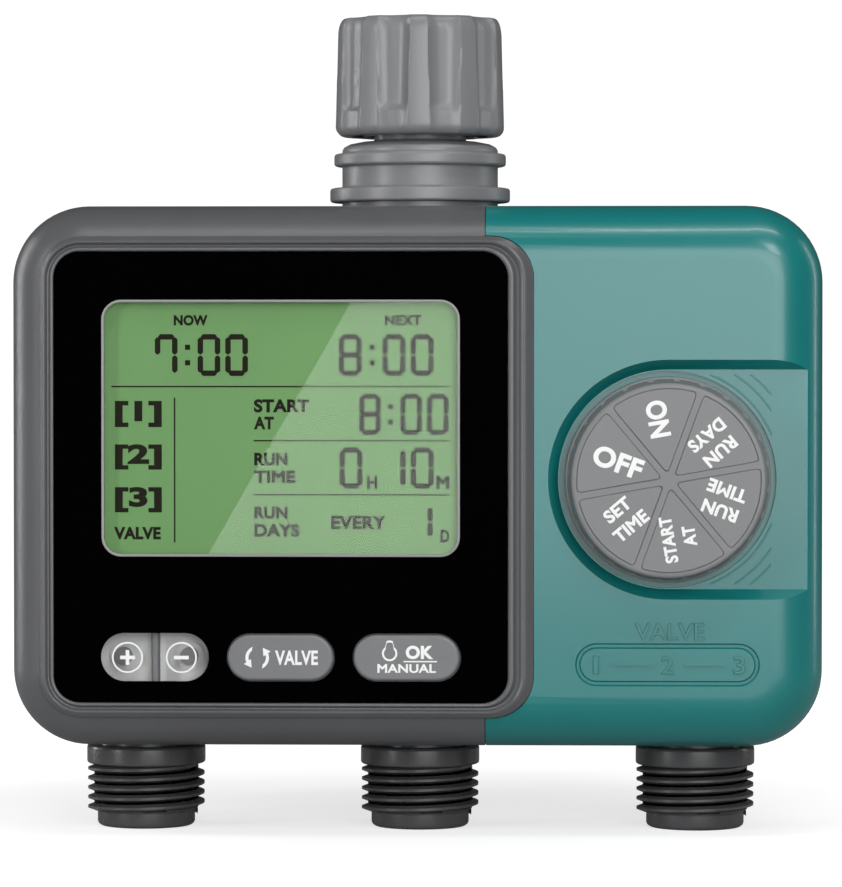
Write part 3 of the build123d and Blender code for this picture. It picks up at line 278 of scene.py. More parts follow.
rear_cover = case_half("rear_cover_shell", 0.0, case_rear + wall)
combine(rear_cover, block("door_bed", (hinge.x - 6 * mm, seat_y - 3.0 * mm, door_low.z - 2 * mm),
                          (door_high.x + 2 * mm, case_rear - 0.5 * mm, door_high.z + 2 * mm), 3 * mm), "UNION")
combine(rear_cover, block("door_seat", (door_left - door_gap, seat_y, door_low.z - door_gap),
                          (door_high.x + door_gap, case_rear + wall, door_high.z + door_gap), 3 * mm))
combine(rear_cover, block("cell_opening", cells_low + Vector((1.5, 0, 1.5)) * mm,
                          (cells_high.x - 1.5 * mm, case_rear + wall, cells_high.z - 1.5 * mm), 1.5 * mm))
for x, z in screw_spots:
    well = block("boss", (x - 4 * mm, 0.2 * mm, case_mid + z - 4 * mm),
                 (x + 4 * mm, case_rear - wall, case_mid + z + 4 * mm), 3.9 * mm, steps=12)
    combine(rear_cover, well, "UNION")
    combine(rear_cover, drum("well", (x, case_rear, case_mid + z), 2.9 * mm, 16 * mm, "Y", 48))
channel = knuckle_length + 2 * knuckle_space
swing_r = knuckle_r + knuckle_space
for row in knuckle_rows:
    combine(rear_cover, block("channel", (hinge.x - swing_r, hinge.y - swing_r, row - channel / 2),
                              (door_left + door_gap, hinge.y + swing_r, row + channel / 2)))
soften(rear_cover, 30, 0.25 * mm)
case_knuckles = []
for row in knuckle_rows:
    for side in (-1, 1):
        z = row + side * (knuckle_length + knuckle_space)
        case_knuckles.append(drum("knuckle", (hinge.x, hinge.y, z), knuckle_r, knuckle_length, "Z", 48))
for knuckle in case_knuckles:
    soften(knuckle, 30, 0.2 * mm)
rear_cover = joined("rear_cover_shell", [rear_cover] + case_knuckles)
grey_abs = moulded("grey_abs", (0.092, 0.094, 0.099), 0.34, grain=0.55, tone=0.10)
dress(rear_cover, grey_abs)
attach(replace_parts(rear_cover, "rear_cover"), "case")

# ---------------------------------------------------------------- cover screws and hinge pin
# Zinc-plated pan-head screws at the foot of their wells, and a drawn steel pin through the hinge.


def metal(name, colour, roughness, streaks=260.0, scratch=0.2):
    """Bare or plated metal: fine drawn streaks, small stains and uneven polish."""
    material = bpy.data.materials.new(name)
    material.use_nodes = True
    nodes, links = material.node_tree.nodes, material.node_tree.links
    shader = nodes["Principled BSDF"]
    shader.inputs["Metallic"].default_value = 1.0
    place = nodes.new("ShaderNodeTexCoord")
    stretch = nodes.new("ShaderNodeMapping")
    stretch.inputs["Scale"].default_value = (1.0, 1.0, 8.0)
    links.new(place.outputs["Object"], stretch.inputs["Vector"])
    lines = nodes.new("ShaderNodeTexNoise")
    lines.inputs["Scale"].default_value = streaks
    lines.inputs["Detail"].default_value = 5.0
    links.new(stretch.outputs["Vector"], lines.inputs["Vector"])
    stain = nodes.new("ShaderNodeTexNoise")
    stain.inputs["Scale"].default_value = 90.0
    stain.inputs["Detail"].default_value = 3.0
    links.new(place.outputs["Object"], stain.inputs["Vector"])
    paint = nodes.new("ShaderNodeValToRGB")
    paint.color_ramp.elements[0].position = 0.35
    paint.color_ramp.elements[1].position = 0.65
    paint.color_ramp.elements[0].color = [c * 0.72 for c in colour] + [1]
    paint.color_ramp.elements[1].color = list(colour) + [1]
    links.new(stain.outputs["Fac"], paint.inputs["Fac"])
    links.new(paint.outputs["Color"], shader.inputs["Base Color"])
    polish = nodes.new("ShaderNodeMapRange")
    polish.inputs["To Min"].default_value = roughness * 0.7
    polish.inputs["To Max"].default_value = roughness * 1.4
    links.new(lines.outputs["Fac"], polish.inputs["Value"])
    links.new(polish.outputs["Result"], shader.inputs["Roughness"])
    relief = nodes.new("ShaderNodeBump")
    relief.inputs["Strength"].default_value = scratch
    relief.inputs["Distance"].default_value = 0.02 * mm
    links.new(lines.outputs["Fac"], relief.inputs["Height"])
    links.new(relief.outputs["Normal"], shader.inputs["Normal"])
    return material


zinc = metal("zinc_plate", (0.62, 0.63, 0.64), 0.32)
for node in ("cover_screws", "board_screws", "bonnet_screws", "door_hinge_pin"):
    dress(frame["nodes"][node], zinc)

# ---------------------------------------------------------------- seals
# Black nitrile rubber: the cover's seal, the door's gasket, the stem's ring and the outlet seals.
rubber = moulded("nitrile_rubber", (0.018, 0.018, 0.019), 0.62, grain=0.5, tone=0.25, specular=0.3)
for node in ("cover_seal", "door_gasket", "stem_seal", "outlet_seals", "dial_seal", "inlet_washer"):
    dress(frame["nodes"][node], rubber)
for side in outlet_x:
    dress(frame["nodes"][f"diaphragm_{side}"], rubber)

# ---------------------------------------------------------------- manifold, valves and leads
# Glass-filled black nylon manifold with three bonnets screwed to it; each bonnet's guide tube
# holds a steel plunger and its spring, and carries a taped copper coil with two leads.
nylon_black = moulded("glass_filled_nylon", (0.022, 0.022, 0.024), 0.48, grain=0.8, tone=0.3)
nylon_grey = moulded("bonnet_nylon", (0.11, 0.112, 0.118), 0.45, grain=0.6, tone=0.15)
tape = moulded("coil_tape", (0.03, 0.028, 0.026), 0.34, grain=0.35, tone=0.35, grain_size=0.9)
lead_sheath = moulded("lead_sheath", (0.42, 0.022, 0.02), 0.38, grain=0.2, tone=0.15)
steel = metal("plunger_steel", (0.55, 0.55, 0.56), 0.28)
dress(frame["nodes"]["manifold"], nylon_black)
dress(frame["nodes"]["valve_leads"], lead_sheath)
for side, x in outlet_x.items():
    dress(frame["nodes"][f"bonnet_{side}"], nylon_grey)
    dress(frame["nodes"][f"solenoid_coil_{side}"], tape)
    dress(frame["nodes"][f"plunger_{side}"], steel)
    spring = frame["nodes"][f"plunger_spring_{side}"].copy()
    spring.data = spring.data.copy()
    spring.parent = None
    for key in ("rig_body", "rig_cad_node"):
        del spring[key]
    spring.name = spring.data.name = f"valve_spring_{side}"
    bpy.context.scene.collection.objects.link(spring)
    pick(spring)
    bpy.ops.object.mode_set(mode="EDIT")
    bpy.ops.mesh.select_all(action="SELECT")
    bpy.ops.mesh.remove_doubles(threshold=1e-7)
    pick(spring)
    bpy.ops.object.shade_smooth_by_angle(angle=math.radians(40))
    dress(spring, steel)
    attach(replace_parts(spring, f"plunger_spring_{side}"), "case")
    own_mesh(spring)

# ---------------------------------------------------------------- battery box, cells and contacts
# Grey ABS box with low ribs between its four cells, which have printed sleeves; plated springs.
box_abs = moulded("box_abs", (0.13, 0.133, 0.14), 0.45, grain=0.5, tone=0.12)
plate = metal("nickel_plate", (0.66, 0.63, 0.57), 0.25)
dress(frame["nodes"]["battery_box"], box_abs)
dress(frame["nodes"]["battery_contacts"], plate)


def sleeve(name, low, high):
    """Printed shrink sleeve of a cell: a dark body, a copper band at one end and bare rims."""
    material = moulded(name, (0.02, 0.021, 0.024), 0.22, grain=0.1, tone=0.2, coat=0.5)
    nodes, links = material.node_tree.nodes, material.node_tree.links
    shader = nodes["Principled BSDF"]
    place = nodes.new("ShaderNodeTexCoord")
    split = nodes.new("ShaderNodeSeparateXYZ")
    links.new(place.outputs["Object"], split.inputs["Vector"])
    height = nodes.new("ShaderNodeMapRange")
    height.inputs["From Min"].default_value = low
    height.inputs["From Max"].default_value = high
    links.new(split.outputs["Z"], height.inputs["Value"])
    bands = nodes.new("ShaderNodeValToRGB")
    bands.color_ramp.interpolation = "CONSTANT"
    bands.color_ramp.elements[0].color = (0.55, 0.53, 0.5, 1)
    bands.color_ramp.elements[1].position = 0.02
    bands.color_ramp.elements[1].color = (0.02, 0.021, 0.024, 1)
    for position, colour in ((0.72, (0.42, 0.19, 0.07, 1)), (0.97, (0.55, 0.53, 0.5, 1))):
        stop = bands.color_ramp.elements.new(position)
        stop.color = colour
    links.new(height.outputs["Result"], bands.inputs["Fac"])
    links.new(bands.outputs["Color"], shader.inputs["Base Color"])
    return material


for i in range(4):
    cell = f"battery_{i + 1}"
    foot, top = (c.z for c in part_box(cell))
    dress(frame["nodes"][cell], sleeve(f"cell_sleeve_{i + 1}", *((foot, top) if i % 2 == 0 else (top, foot))))

# ---------------------------------------------------------------- battery door and its screw
# Grey ABS lid with two hinge knuckles, five finger ribs and a captive coin-slot screw.
battery_door = block("battery_door_lid", (door_left, case_rear - door_thickness, door_low.z),
                     (door_high.x, case_rear, door_high.z), 2.6 * mm, 0.4 * mm, ("rear",))
for row in knuckle_rows:
    arm = block("arm", (hinge.x, case_rear - door_thickness, row - knuckle_length / 2),
                (door_left + 1.0 * mm, case_rear, row + knuckle_length / 2))
    combine(battery_door, arm, "UNION")
    combine(battery_door, drum("knuckle", hinge.xy.to_3d() + Vector((0, 0, row)), knuckle_r,
                               knuckle_length, "Z", 48), "UNION")
    combine(battery_door, drum("pin_hole", hinge.xy.to_3d() + Vector((0, 0, row)), 1.3 * mm,
                               2 * knuckle_length, "Z", 32))
screw_low, screw_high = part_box("door_screw")
screw_centre = (screw_low + screw_high) / 2
combine(battery_door, drum("screw_hole", (screw_centre.x, case_rear, hinge.z), 1.55 * mm, 8 * mm, "Y", 32))
soften(battery_door, 30, 0.2 * mm)
ribs = []
for i in range(5):
    x = door_high.x - 14.5 * mm + (i - 2) * 2.6 * mm
    ribs.append(soften(block("rib", (x - 0.6 * mm, case_rear - 0.3 * mm, hinge.z - 7 * mm),
                             (x + 0.6 * mm, case_rear + 0.6 * mm, hinge.z + 7 * mm), 0.59 * mm, 0.25 * mm,
                             ("rear",), 8)))
battery_door = dress(joined("battery_door_lid", [battery_door] + ribs), grey_abs)
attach(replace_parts(battery_door, "battery_door"), "battery_hatch")

head_r = (screw_high.x - screw_low.x) / 2
lid_screw = drum("lid_screw", (screw_centre.x, case_rear + 0.7 * mm, hinge.z), head_r, 1.4 * mm, "Y", 64)
slot_tool = block("slot", (screw_centre.x - 0.55 * mm, case_rear + 0.6 * mm, hinge.z - 9 * mm),
                  (screw_centre.x + 0.55 * mm, case_rear + 3 * mm, hinge.z + 9 * mm))
combine(lid_screw, slot_tool)
soften(lid_screw, 30, 0.2 * mm)
shank = soften(drum("shank", (screw_centre.x, (screw_low.y + case_rear) / 2, hinge.z), 1.45 * mm,
                    case_rear - screw_low.y, "Y", 32))
lid_screw = dress(joined("lid_screw", [lid_screw, shank]), zinc)
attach(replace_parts(lid_screw, "door_screw"), "battery_hatch")

# ---------------------------------------------------------------- control board and switches
# Green epoxy-glass board with black tact switches behind the keys and a rotary switch.
solder_mask = moulded("solder_mask", (0.012, 0.11, 0.045), 0.28, grain=0.3, tone=0.3, grain_size=1.2, coat=0.4)
switch_black = moulded("switch_body", (0.02, 0.02, 0.022), 0.4, grain=0.3, tone=0.2)
white_abs = moulded("white_abs", (0.72, 0.72, 0.70), 0.42, grain=0.3, tone=0.05)
silicone = moulded("silicone", (0.62, 0.63, 0.62), 0.55, grain=0.2, tone=0.06, specular=0.35)
dress(frame["nodes"]["control_board"], solder_mask)
dress(frame["nodes"]["keypad_seal"], silicone)
for node in ("key_switches", "rotary_switch"):
    dress(frame["nodes"][node], switch_black)
for node in ("display_carrier", "display_light", "dial_spindle"):
    dress(frame["nodes"][node], white_abs)

# ---------------------------------------------------------------- front cover, grey part
# Grey ABS with a raised console frame round the panel: an inner lip, a valley, a round ridge
# and a textured outer flank, wider on the side that faces the dial.
dial_low, dial_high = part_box("dial_knob")
dial_x = (dial_low.x + dial_high.x) / 2
dial_z = (dial_low.z + dial_high.z) / 2
dial_r = (dial_high.x - dial_low.x) / 2
panel_low, panel_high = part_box("control_panel")
panel_gap = 0.12 * mm
panel_left, panel_right = panel_low.x - panel_gap, panel_high.x + panel_gap
panel_bottom, panel_top = panel_low.z - panel_gap, panel_high.z + panel_gap
console_right = grey_high.x - 0.6 * mm
console_left = case_low.x + 7.1 * mm
console_top, console_bottom = case_high.z - 7.1 * mm, case_low.z + 7.1 * mm
console_front = grey_low.y
panel_corner_r, console_corner_r = 6.0 * mm, 9.4 * mm
seam_x = dial_x - 41.0 * mm
seam_gap = 0.16 * mm


def rim_loft(name, rings, corner_steps=12):
    """Closed frame drawn through rounded outlines: each ring is left, right, bottom, top, corner, depth."""
    left, right, bottom, top, corner, y = rings[0]
    middle = ((left + right) / 2, y, (bottom + top) / 2)
    pick(None)
    bpy.ops.mesh.primitive_plane_add(size=1, location=middle, rotation=(math.pi / 2, 0, 0))
    piece = started(name)
    choose(piece, "VERT", lambda v: True)
    bpy.ops.transform.resize(value=(right - left, 1, top - bottom), center_override=middle)
    bpy.ops.mesh.bevel(offset=corner, segments=corner_steps, affect="VERTICES", clamp_overlap=False)
    bpy.ops.mesh.select_all(action="SELECT")
    bpy.ops.mesh.delete(type="ONLY_FACE")
    bpy.ops.mesh.select_all(action="SELECT")
    for before, after in zip(rings, rings[1:] + rings[:1]):
        bpy.ops.mesh.extrude_edges_move()
        form = bmesh.from_edit_mesh(piece.data)
        for vertex in (v for v in form.verts if v.select):
            place = []
            for low, high, along in ((0, 1, vertex.co.x), (2, 3, vertex.co.z)):
                upper = along > (before[low] + before[high]) / 2
                centre = before[high] - before[4] if upper else before[low] + before[4]
                moved = after[high] - after[4] if upper else after[low] + after[4]
                place.append(moved + (along - centre) / before[4] * after[4])
            vertex.co = (place[0], after[5], place[1])
        bmesh.update_edit_mesh(piece.data)
    bpy.ops.mesh.select_all(action="SELECT")
    bpy.ops.mesh.remove_doubles(threshold=1e-6)
    bpy.ops.mesh.normals_make_consistent(inside=False)
    pick(piece)
    return piece


def console_ring(share, y, corner=None):
    """Outline that lies a share of the way from the panel's edge to the console's outer edge."""
    mix = lambda inner, outer: inner + (outer - inner) * share
    return (mix(panel_left, console_left), mix(panel_right, console_right),
            mix(panel_bottom, console_bottom), mix(panel_top, console_top),
            corner or mix(panel_corner_r, console_corner_r), y)


def seam_tool(name, grow):
    """Everything on the grey side of the colour seam: the left of the case and the whole console."""
    reach = 2 * half_w
    side = block(name, (-reach, 2 * case_front, case_mid - reach), (seam_x + grow, wall, case_mid + reach))
    console = block("console", (console_left - grow, 2 * case_front - mm, console_bottom - grow),
                    (console_right + grow, 2 * wall, console_top + grow), console_corner_r + grow)
    combine(side, console, "UNION")
    # The inner corners where the seam turns onto the console are rounded
    turns = (console_top + grow, console_bottom - grow)
    choose(side, "EDGE", lambda e: abs(e.verts[0].co.y - e.verts[1].co.y) > wall and any(
        (e.verts[0].co.xz - Vector((seam_x + grow, z))).length < 1e-5 for z in turns))
    bpy.ops.mesh.bevel(offset=1.9 * mm, segments=8, affect="EDGES", clamp_overlap=False)
    pick(side)
    return side


front_grey = case_half("front_cover_grey_shell", case_front - wall, 0.0)
combine(front_grey, seam_tool("grey_side", 0.0), "INTERSECT")
rise = case_front - console_front
panel_back = case_front - rise + 0.6 * mm + 1.6 * mm
ledge = 2.0 * mm
side_ledge = 6.8 * mm
combine(front_grey, block("panel_seat", (panel_left, 2 * case_front, panel_bottom),
                          (panel_right, panel_back, panel_top), panel_corner_r))
combine(front_grey, block("opening", (panel_left + side_ledge, 2 * case_front, panel_bottom + ledge),
                          (panel_right - side_ledge, 0, panel_top - ledge), panel_corner_r))
floor_depth = case_front + wall - 0.2 * mm
console_frame = rim_loft("console_frame", [
    console_ring(0.0, floor_depth), console_ring(0.0, console_front + 0.25 * mm),
    console_ring(0.03, console_front + 0.06 * mm), console_ring(0.08, console_front),
    console_ring(0.16, console_front), console_ring(0.21, console_front + 0.10 * mm),
    console_ring(0.25, console_front + 0.45 * mm), console_ring(0.33, console_front + 0.85 * mm),
    console_ring(0.42, console_front + 0.80 * mm), console_ring(0.49, console_front + 0.40 * mm),
    console_ring(0.55, console_front + 0.12 * mm), console_ring(0.62, console_front),
    console_ring(0.70, console_front + 0.10 * mm), console_ring(0.78, console_front + 0.38 * mm),
    console_ring(0.90, case_front - 0.35 * mm), console_ring(0.97, case_front - 0.12 * mm),
    console_ring(1.0, case_front + 0.2 * mm), console_ring(1.0, floor_depth)])
combine(front_grey, console_frame, "UNION")
soften(front_grey, 24)
dress(front_grey, grey_abs)
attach(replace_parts(front_grey, "front_cover_grey"), "case")

# ---------------------------------------------------------------- front cover, teal part
# Teal ABS moulded over the grey: a D-shaped pocket round the dial that runs out at the side,
# fine arcs on its floor, and an embossed label with a pill-shaped groove below.
pocket_wall_run = 2.2 * mm
pocket_r = dial_r + 3.8 * mm
pocket_floor_r = pocket_r - pocket_wall_run
floor_y = case_front + 3.3 * mm
pocket_depth = floor_y - case_front

front_teal = case_half("front_cover_teal_shell", case_front - wall, 0.0)
combine(front_teal, seam_tool("grey_side", seam_gap))
backing = block("pocket_back", (dial_x - 2 * mm, case_front + wall - 0.3 * mm, dial_z - pocket_r - wall),
                (case_high.x - 5.5 * mm, floor_y + 2.2 * mm, dial_z + pocket_r + wall))
combine(backing, drum("pocket_back_round", (dial_x, (case_front + wall + floor_y + 2.2 * mm) / 2 - 0.15 * mm,
                                            dial_z), pocket_r + wall,
                      floor_y + 2.2 * mm - case_front - wall + 0.3 * mm, "Y", 128), "UNION")
combine(front_teal, backing, "UNION")
pocket_cut = drum("pocket_round", (dial_x, floor_y - pocket_depth, dial_z),
                  pocket_r + pocket_wall_run, 2 * pocket_depth, "Y", 160, tip_r=pocket_floor_r)
pocket_side = block("pocket_side", (dial_x, floor_y - 2 * pocket_depth, dial_z - pocket_floor_r),
                    (1.5 * half_w, floor_y, dial_z + pocket_floor_r))
choose(pocket_side, "VERT", lambda v: v.co.y < floor_y - pocket_depth)
bpy.ops.transform.resize(value=(1, 1, (pocket_r + pocket_wall_run) / pocket_floor_r),
                         center_override=(dial_x, 0, dial_z))
combine(pocket_cut, pocket_side, "UNION")
combine(front_teal, pocket_cut)
choose(front_teal, "EDGE", lambda e: all(
    abs(v.co.y - case_front) < 1e-6 and (v.co.xz - Vector((dial_x, dial_z))).length < 60 * mm
    and v.co.x > console_right + 1.5 * mm and abs(v.co.z - dial_z) < pocket_r + 0.1 * mm
    for v in e.verts) and e.calc_face_angle(0) > 0.3)
bpy.ops.mesh.bevel(offset=0.45 * mm, segments=4, affect="EDGES", clamp_overlap=True)
pick(front_teal)
combine(front_teal, drum("spindle_hole", (dial_x, floor_y, dial_z), 3.05 * mm, 14 * mm, "Y", 48))

# The dial stands in a shallow round sink, which leaves a dark gap round its rim
sink_depth = 1.5 * mm
combine(front_teal, drum("dial_sink", (dial_x, floor_y, dial_z), dial_r + 1.3 * mm, 2 * sink_depth, "Y", 160))

# Arcs on the pocket floor
arcs = []
for radius, start, stop in ((25.3, 23.0, 68.0), (27.8, 33.5, 57.5), (29.9, 39.5, 52.0)):
    for sign in (1, -1):
        pick(None)
        bpy.ops.mesh.primitive_torus_add(location=(dial_x, floor_y, dial_z), rotation=(math.pi / 2, 0, 0),
                                         major_segments=180, minor_segments=6,
                                         major_radius=radius * mm, minor_radius=0.2 * mm)
        arc = started("arc")
        for limit, keep in ((start, 1), (stop, -1)):
            choose(arc, "FACE", lambda f: True)
            turn = math.radians(sign * limit)
            normal = Vector((-math.sin(turn), 0, math.cos(turn))) * keep * sign
            bpy.ops.mesh.bisect(plane_co=(dial_x, floor_y, dial_z), plane_no=normal, use_fill=True,
                                clear_inner=True)
        choose(arc, "VERT", lambda v: v.co.x < dial_x)
        bpy.ops.mesh.delete(type="VERT")
        pick(arc)
        arcs.append(arc)

# Pill-shaped groove
groove_x, groove_z = 56.4 * mm, case_mid - 41.9 * mm
groove_w, groove_h = 41.2 * mm, 9.6 * mm
groove_line, groove_depth = 0.9 * mm, 0.6 * mm
groove = rim_loft("groove", [
    (groove_x - groove_w / 2 + shrink, groove_x + groove_w / 2 - shrink, groove_z - groove_h / 2 + shrink,
     groove_z + groove_h / 2 - shrink, groove_h / 2 - shrink - 0.01 * mm, y)
    for shrink, y in ((-0.15 * mm, case_front - 0.2 * mm), (0.3 * mm, case_front + groove_depth),
                      (groove_line, case_front + groove_depth), (groove_line + 0.45 * mm, case_front - 0.2 * mm))],
    16)
combine(front_teal, groove)
soften(front_teal, 24)


def words(text, wide, high, x, z, y, turn=0.0, stroke=0.03, raised=0.06 * mm):
    """Sans-serif words of exact width and height, facing forwards, centred on a point and turned."""
    pick(None)
    bpy.ops.object.text_add()
    label = bpy.context.active_object
    label.data.body = text
    label.data.size = 1.0
    label.data.extrude = 0.02
    label.data.bevel_depth = stroke
    label.data.bevel_resolution = 1
    label.data.space_character = 1.0 + stroke
    label.data.resolution_u = 6
    bpy.ops.object.convert(target="MESH")
    label = bpy.context.active_object
    low = Vector([min(v.co[i] for v in label.data.vertices) for i in range(3)])
    high_corner = Vector([max(v.co[i] for v in label.data.vertices) for i in range(3)])
    middle, span = (low + high_corner) / 2, high_corner - low
    place = (Matrix.Translation((x, y, z)) @ Matrix.Rotation(turn, 4, "Y")
             @ Matrix.Rotation(math.pi / 2, 4, "X")
             @ Matrix.Diagonal((wide / span.x, high / span.y, 2 * raised / span.z, 1))
             @ Matrix.Translation(-middle))
    label.data.transform(place)
    return label


emboss = 0.5 * mm
labels = [words(text, wide * mm, 4.0 * mm, groove_x + dx * mm, groove_z, case_front, stroke=0.015, raised=emboss)
          for text, wide, dx in (("1", 1.3, -16.0), ("2", 2.7, 0.0), ("3", 2.7, 16.0))]
for side in (-1, 1):
    x = groove_x + side * 8.2 * mm
    labels.append(block("dash", (x - 4.6 * mm, case_front - emboss, groove_z - 0.22 * mm),
                        (x + 4.6 * mm, case_front + 0.1 * mm, groove_z + 0.22 * mm)))
labels.append(words("VALVE", 15.5 * mm, 3.8 * mm, groove_x + 0.5 * mm, case_mid - 34.4 * mm, case_front,
                    stroke=0.015, raised=emboss))
front_teal = joined("front_cover_teal_shell", [front_teal] + arcs + labels)
teal_abs = moulded("teal_abs", (0.004, 0.170, 0.166), 0.30, grain=0.10, tone=0.04, coat=0.2)
dress(front_teal, teal_abs)
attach(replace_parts(front_teal, "front_cover_teal"), "case")

# ---------------------------------------------------------------- control panel
# Gloss black acrylic-faced plate let into the console, cut out for the window and three keys.
window_low, window_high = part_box("window_trim")
key_nodes = ("key_plus_minus", "key_zone", "key_ok")
key_z = sum(c.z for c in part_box("key_zone")) / 2
key_h = 10.3 * mm
key_w = 23.77 * mm
key_x = {node: sum(c.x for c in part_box(node)) / 2 for node in key_nodes}
key_clearance = 0.3 * mm
display_r = 4.4 * mm
panel_front = panel_low.y
panel = block("panel_plate", (panel_low.x, panel_front, panel_low.z),
              (panel_high.x, panel_back, panel_high.z), panel_corner_r - panel_gap, 0.18 * mm, ("front",))
combine(panel, block("window", (window_low.x, 2 * panel_front, window_low.z),
                     (window_high.x, 0, window_high.z), display_r))
for node in key_nodes:
    reach = (key_w / 2 + key_clearance, key_h / 2 + key_clearance)
    combine(panel, block("key_way", (key_x[node] - reach[0], 2 * panel_front, key_z - reach[1]),
                         (key_x[node] + reach[0], 0, key_z + reach[1]), reach[1] - 1e-6))
for side in (-1, 1):
    z = key_z + side * (key_h / 2 + 2.3 * mm)
    lug = block("lug", (key_x["key_plus_minus"] - 2.2 * mm, panel_back - 0.2 * mm, z - 0.75 * mm),
                (key_x["key_plus_minus"] + 2.2 * mm, panel_back + 3.6 * mm, z + 0.75 * mm))
    combine(panel, lug, "UNION")
soften(panel, 24)
panel_black = moulded("panel_black", (0.0003, 0.0003, 0.0004), 0.5, grain=0.05, tone=0.3, specular=0.004)
dress(panel, panel_black)
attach(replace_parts(panel, "control_panel"), "case")

# ---------------------------------------------------------------- window trim and lens
# A fine light-grey bead round the window, and a clear polycarbonate lens.
trim_w = 0.55 * mm
trim = rim_loft("window_bead", [
    (window_low.x + s, window_high.x - s, window_low.z + s, window_high.z - s, display_r - s, y)
    for s, y in ((0.0, panel_back), (0.0, window_low.y + 0.08 * mm), (0.12 * mm, window_low.y),
                 (trim_w - 0.12 * mm, window_low.y), (trim_w, window_low.y + 0.10 * mm), (trim_w, panel_back))])
soften(trim, 50)
trim_grey = moulded("trim_grey", (0.26, 0.265, 0.26), 0.35, grain=0.3, tone=0.08)
dress(trim, trim_grey)
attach(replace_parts(trim, "window_trim"), "case")

lens_low, lens_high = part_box("display_lens")
lens = block("window_lens", (window_low.x + trim_w, lens_low.y, window_low.z + trim_w),
             (window_high.x - trim_w, lens_low.y + 0.9 * mm, window_high.z - trim_w), display_r - trim_w,
             0.06 * mm, ("front",))
soften(lens, 30)
clear = bpy.data.materials.new("clear_polycarbonate")
clear.use_nodes = True
nodes, links = clear.node_tree.nodes, clear.node_tree.links
gloss = nodes["Principled BSDF"]
gloss.inputs["Base Color"].default_value = (0.9, 0.95, 0.9, 1)
gloss.inputs["Alpha"].default_value = 1.0
place = nodes.new("ShaderNodeTexCoord")
haze = nodes.new("ShaderNodeTexNoise")
haze.inputs["Scale"].default_value = 45.0
haze.inputs["Detail"].default_value = 5.0
links.new(place.outputs["Object"], haze.inputs["Vector"])
wipe = nodes.new("ShaderNodeMapRange")
wipe.inputs["To Min"].default_value = 0.003
wipe.inputs["To Max"].default_value = 0.012
links.new(haze.outputs["Fac"], wipe.inputs["Value"])
mirror = nodes.new("ShaderNodeBsdfGlossy")
links.new(wipe.outputs["Result"], mirror.inputs["Roughness"])
through = nodes.new("ShaderNodeBsdfTransparent")
through.inputs["Color"].default_value = (0.95, 0.98, 0.95, 1)
edge = nodes.new("ShaderNodeFresnel")
edge.inputs["IOR"].default_value = 1.5
mixed = nodes.new("ShaderNodeMixShader")
faint = nodes.new("ShaderNodeMath")
faint.operation = "MULTIPLY"
faint.inputs[1].default_value = 0.25
links.new(edge.outputs["Fac"], faint.inputs[0])
links.new(faint.outputs["Value"], mixed.inputs["Fac"])
links.new(through.outputs["BSDF"], mixed.inputs[1])
links.new(mirror.outputs["BSDF"], mixed.inputs[2])
links.new(mixed.outputs["Shader"], nodes["Material Output"].inputs["Surface"])
nodes.remove(gloss)
dress(lens, clear)
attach(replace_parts(lens, "display_lens"), "case")

# ---------------------------------------------------------------- liquid-crystal display
# Green reflective glass; its dark segments and printed legends lie on the front of the glass.
glass_low, glass_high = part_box("lcd_glass")
glass = block("display_glass", glass_low, glass_high, 0.6 * mm, 0.1 * mm, ("front",), 4)
soften(glass, 30)
lcd_green = moulded("lcd_green", (0.196, 0.352, 0.150), 0.5, grain=0.05, tone=0.05, grain_size=0.5, specular=0.2)
dress(glass, lcd_green)
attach(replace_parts(glass, "lcd_glass"), "case")

ink_y = glass_low.y - 0.05 * mm
screen_w = window_high.x - window_low.x
screen_h = window_high.z - window_low.z


def on_screen(across, down):
    """Point on the display, as shares of the window from its left and its top edge."""
    return window_low.x + across * screen_w, window_high.z - down * screen_h


def bar(x, z, length, thick, upright=False):
    """One display segment: a thin bar with pointed ends."""
    pick(None)
    bpy.ops.mesh.primitive_plane_add(size=1, location=(x, ink_y, z), rotation=(math.pi / 2, 0, 0))
    bpy.ops.transform.resize(value=(thick, 1, length) if upright else (length, 1, thick),
                             center_override=(x, ink_y, z))
    segment = started("segment")
    choose(segment, "VERT", lambda v: True)
    bpy.ops.mesh.bevel(offset=thick * 0.36, segments=1, affect="VERTICES", clamp_overlap=False)
    pick(segment)
    return segment


lit = {"0": "abcdef", "1": "bc", "7": "abcf", "8": "abcdefg"}
slots_of_digit = {"a": (0.0, 0.5, False), "b": (0.5, 0.25, True), "c": (0.5, -0.25, True),
                  "d": (0.0, -0.5, False), "e": (-0.5, -0.25, True), "f": (-0.5, 0.25, True),
                  "g": (0.0, 0.0, False)}


def number(text, x, z, width, height, thick):
    """Seven-segment figures from left to right, starting with their left edge at x."""
    marks = []
    for figure in text:
        if figure == ":":
            side = thick * 0.47
            for dz in (-0.185, 0.185):
                middle = z + dz * height
                marks.append(block("dot", (x + 0.225 * width - side, ink_y, middle - side),
                                   (x + 0.225 * width + side, ink_y + 0.02 * mm, middle + side)))
            x += 0.667 * width
            continue
        for key in lit[figure]:
            across, up, upright = slots_of_digit[key]
            middle = (x + width / 2 + across * (width - thick), z + up * (height - thick))
            length = (height - thick) / 2 - 0.2 * thick if upright else width - 1.25 * thick
            marks.append(bar(*middle, length, thick, upright))
        x += 1.217 * width
    return marks


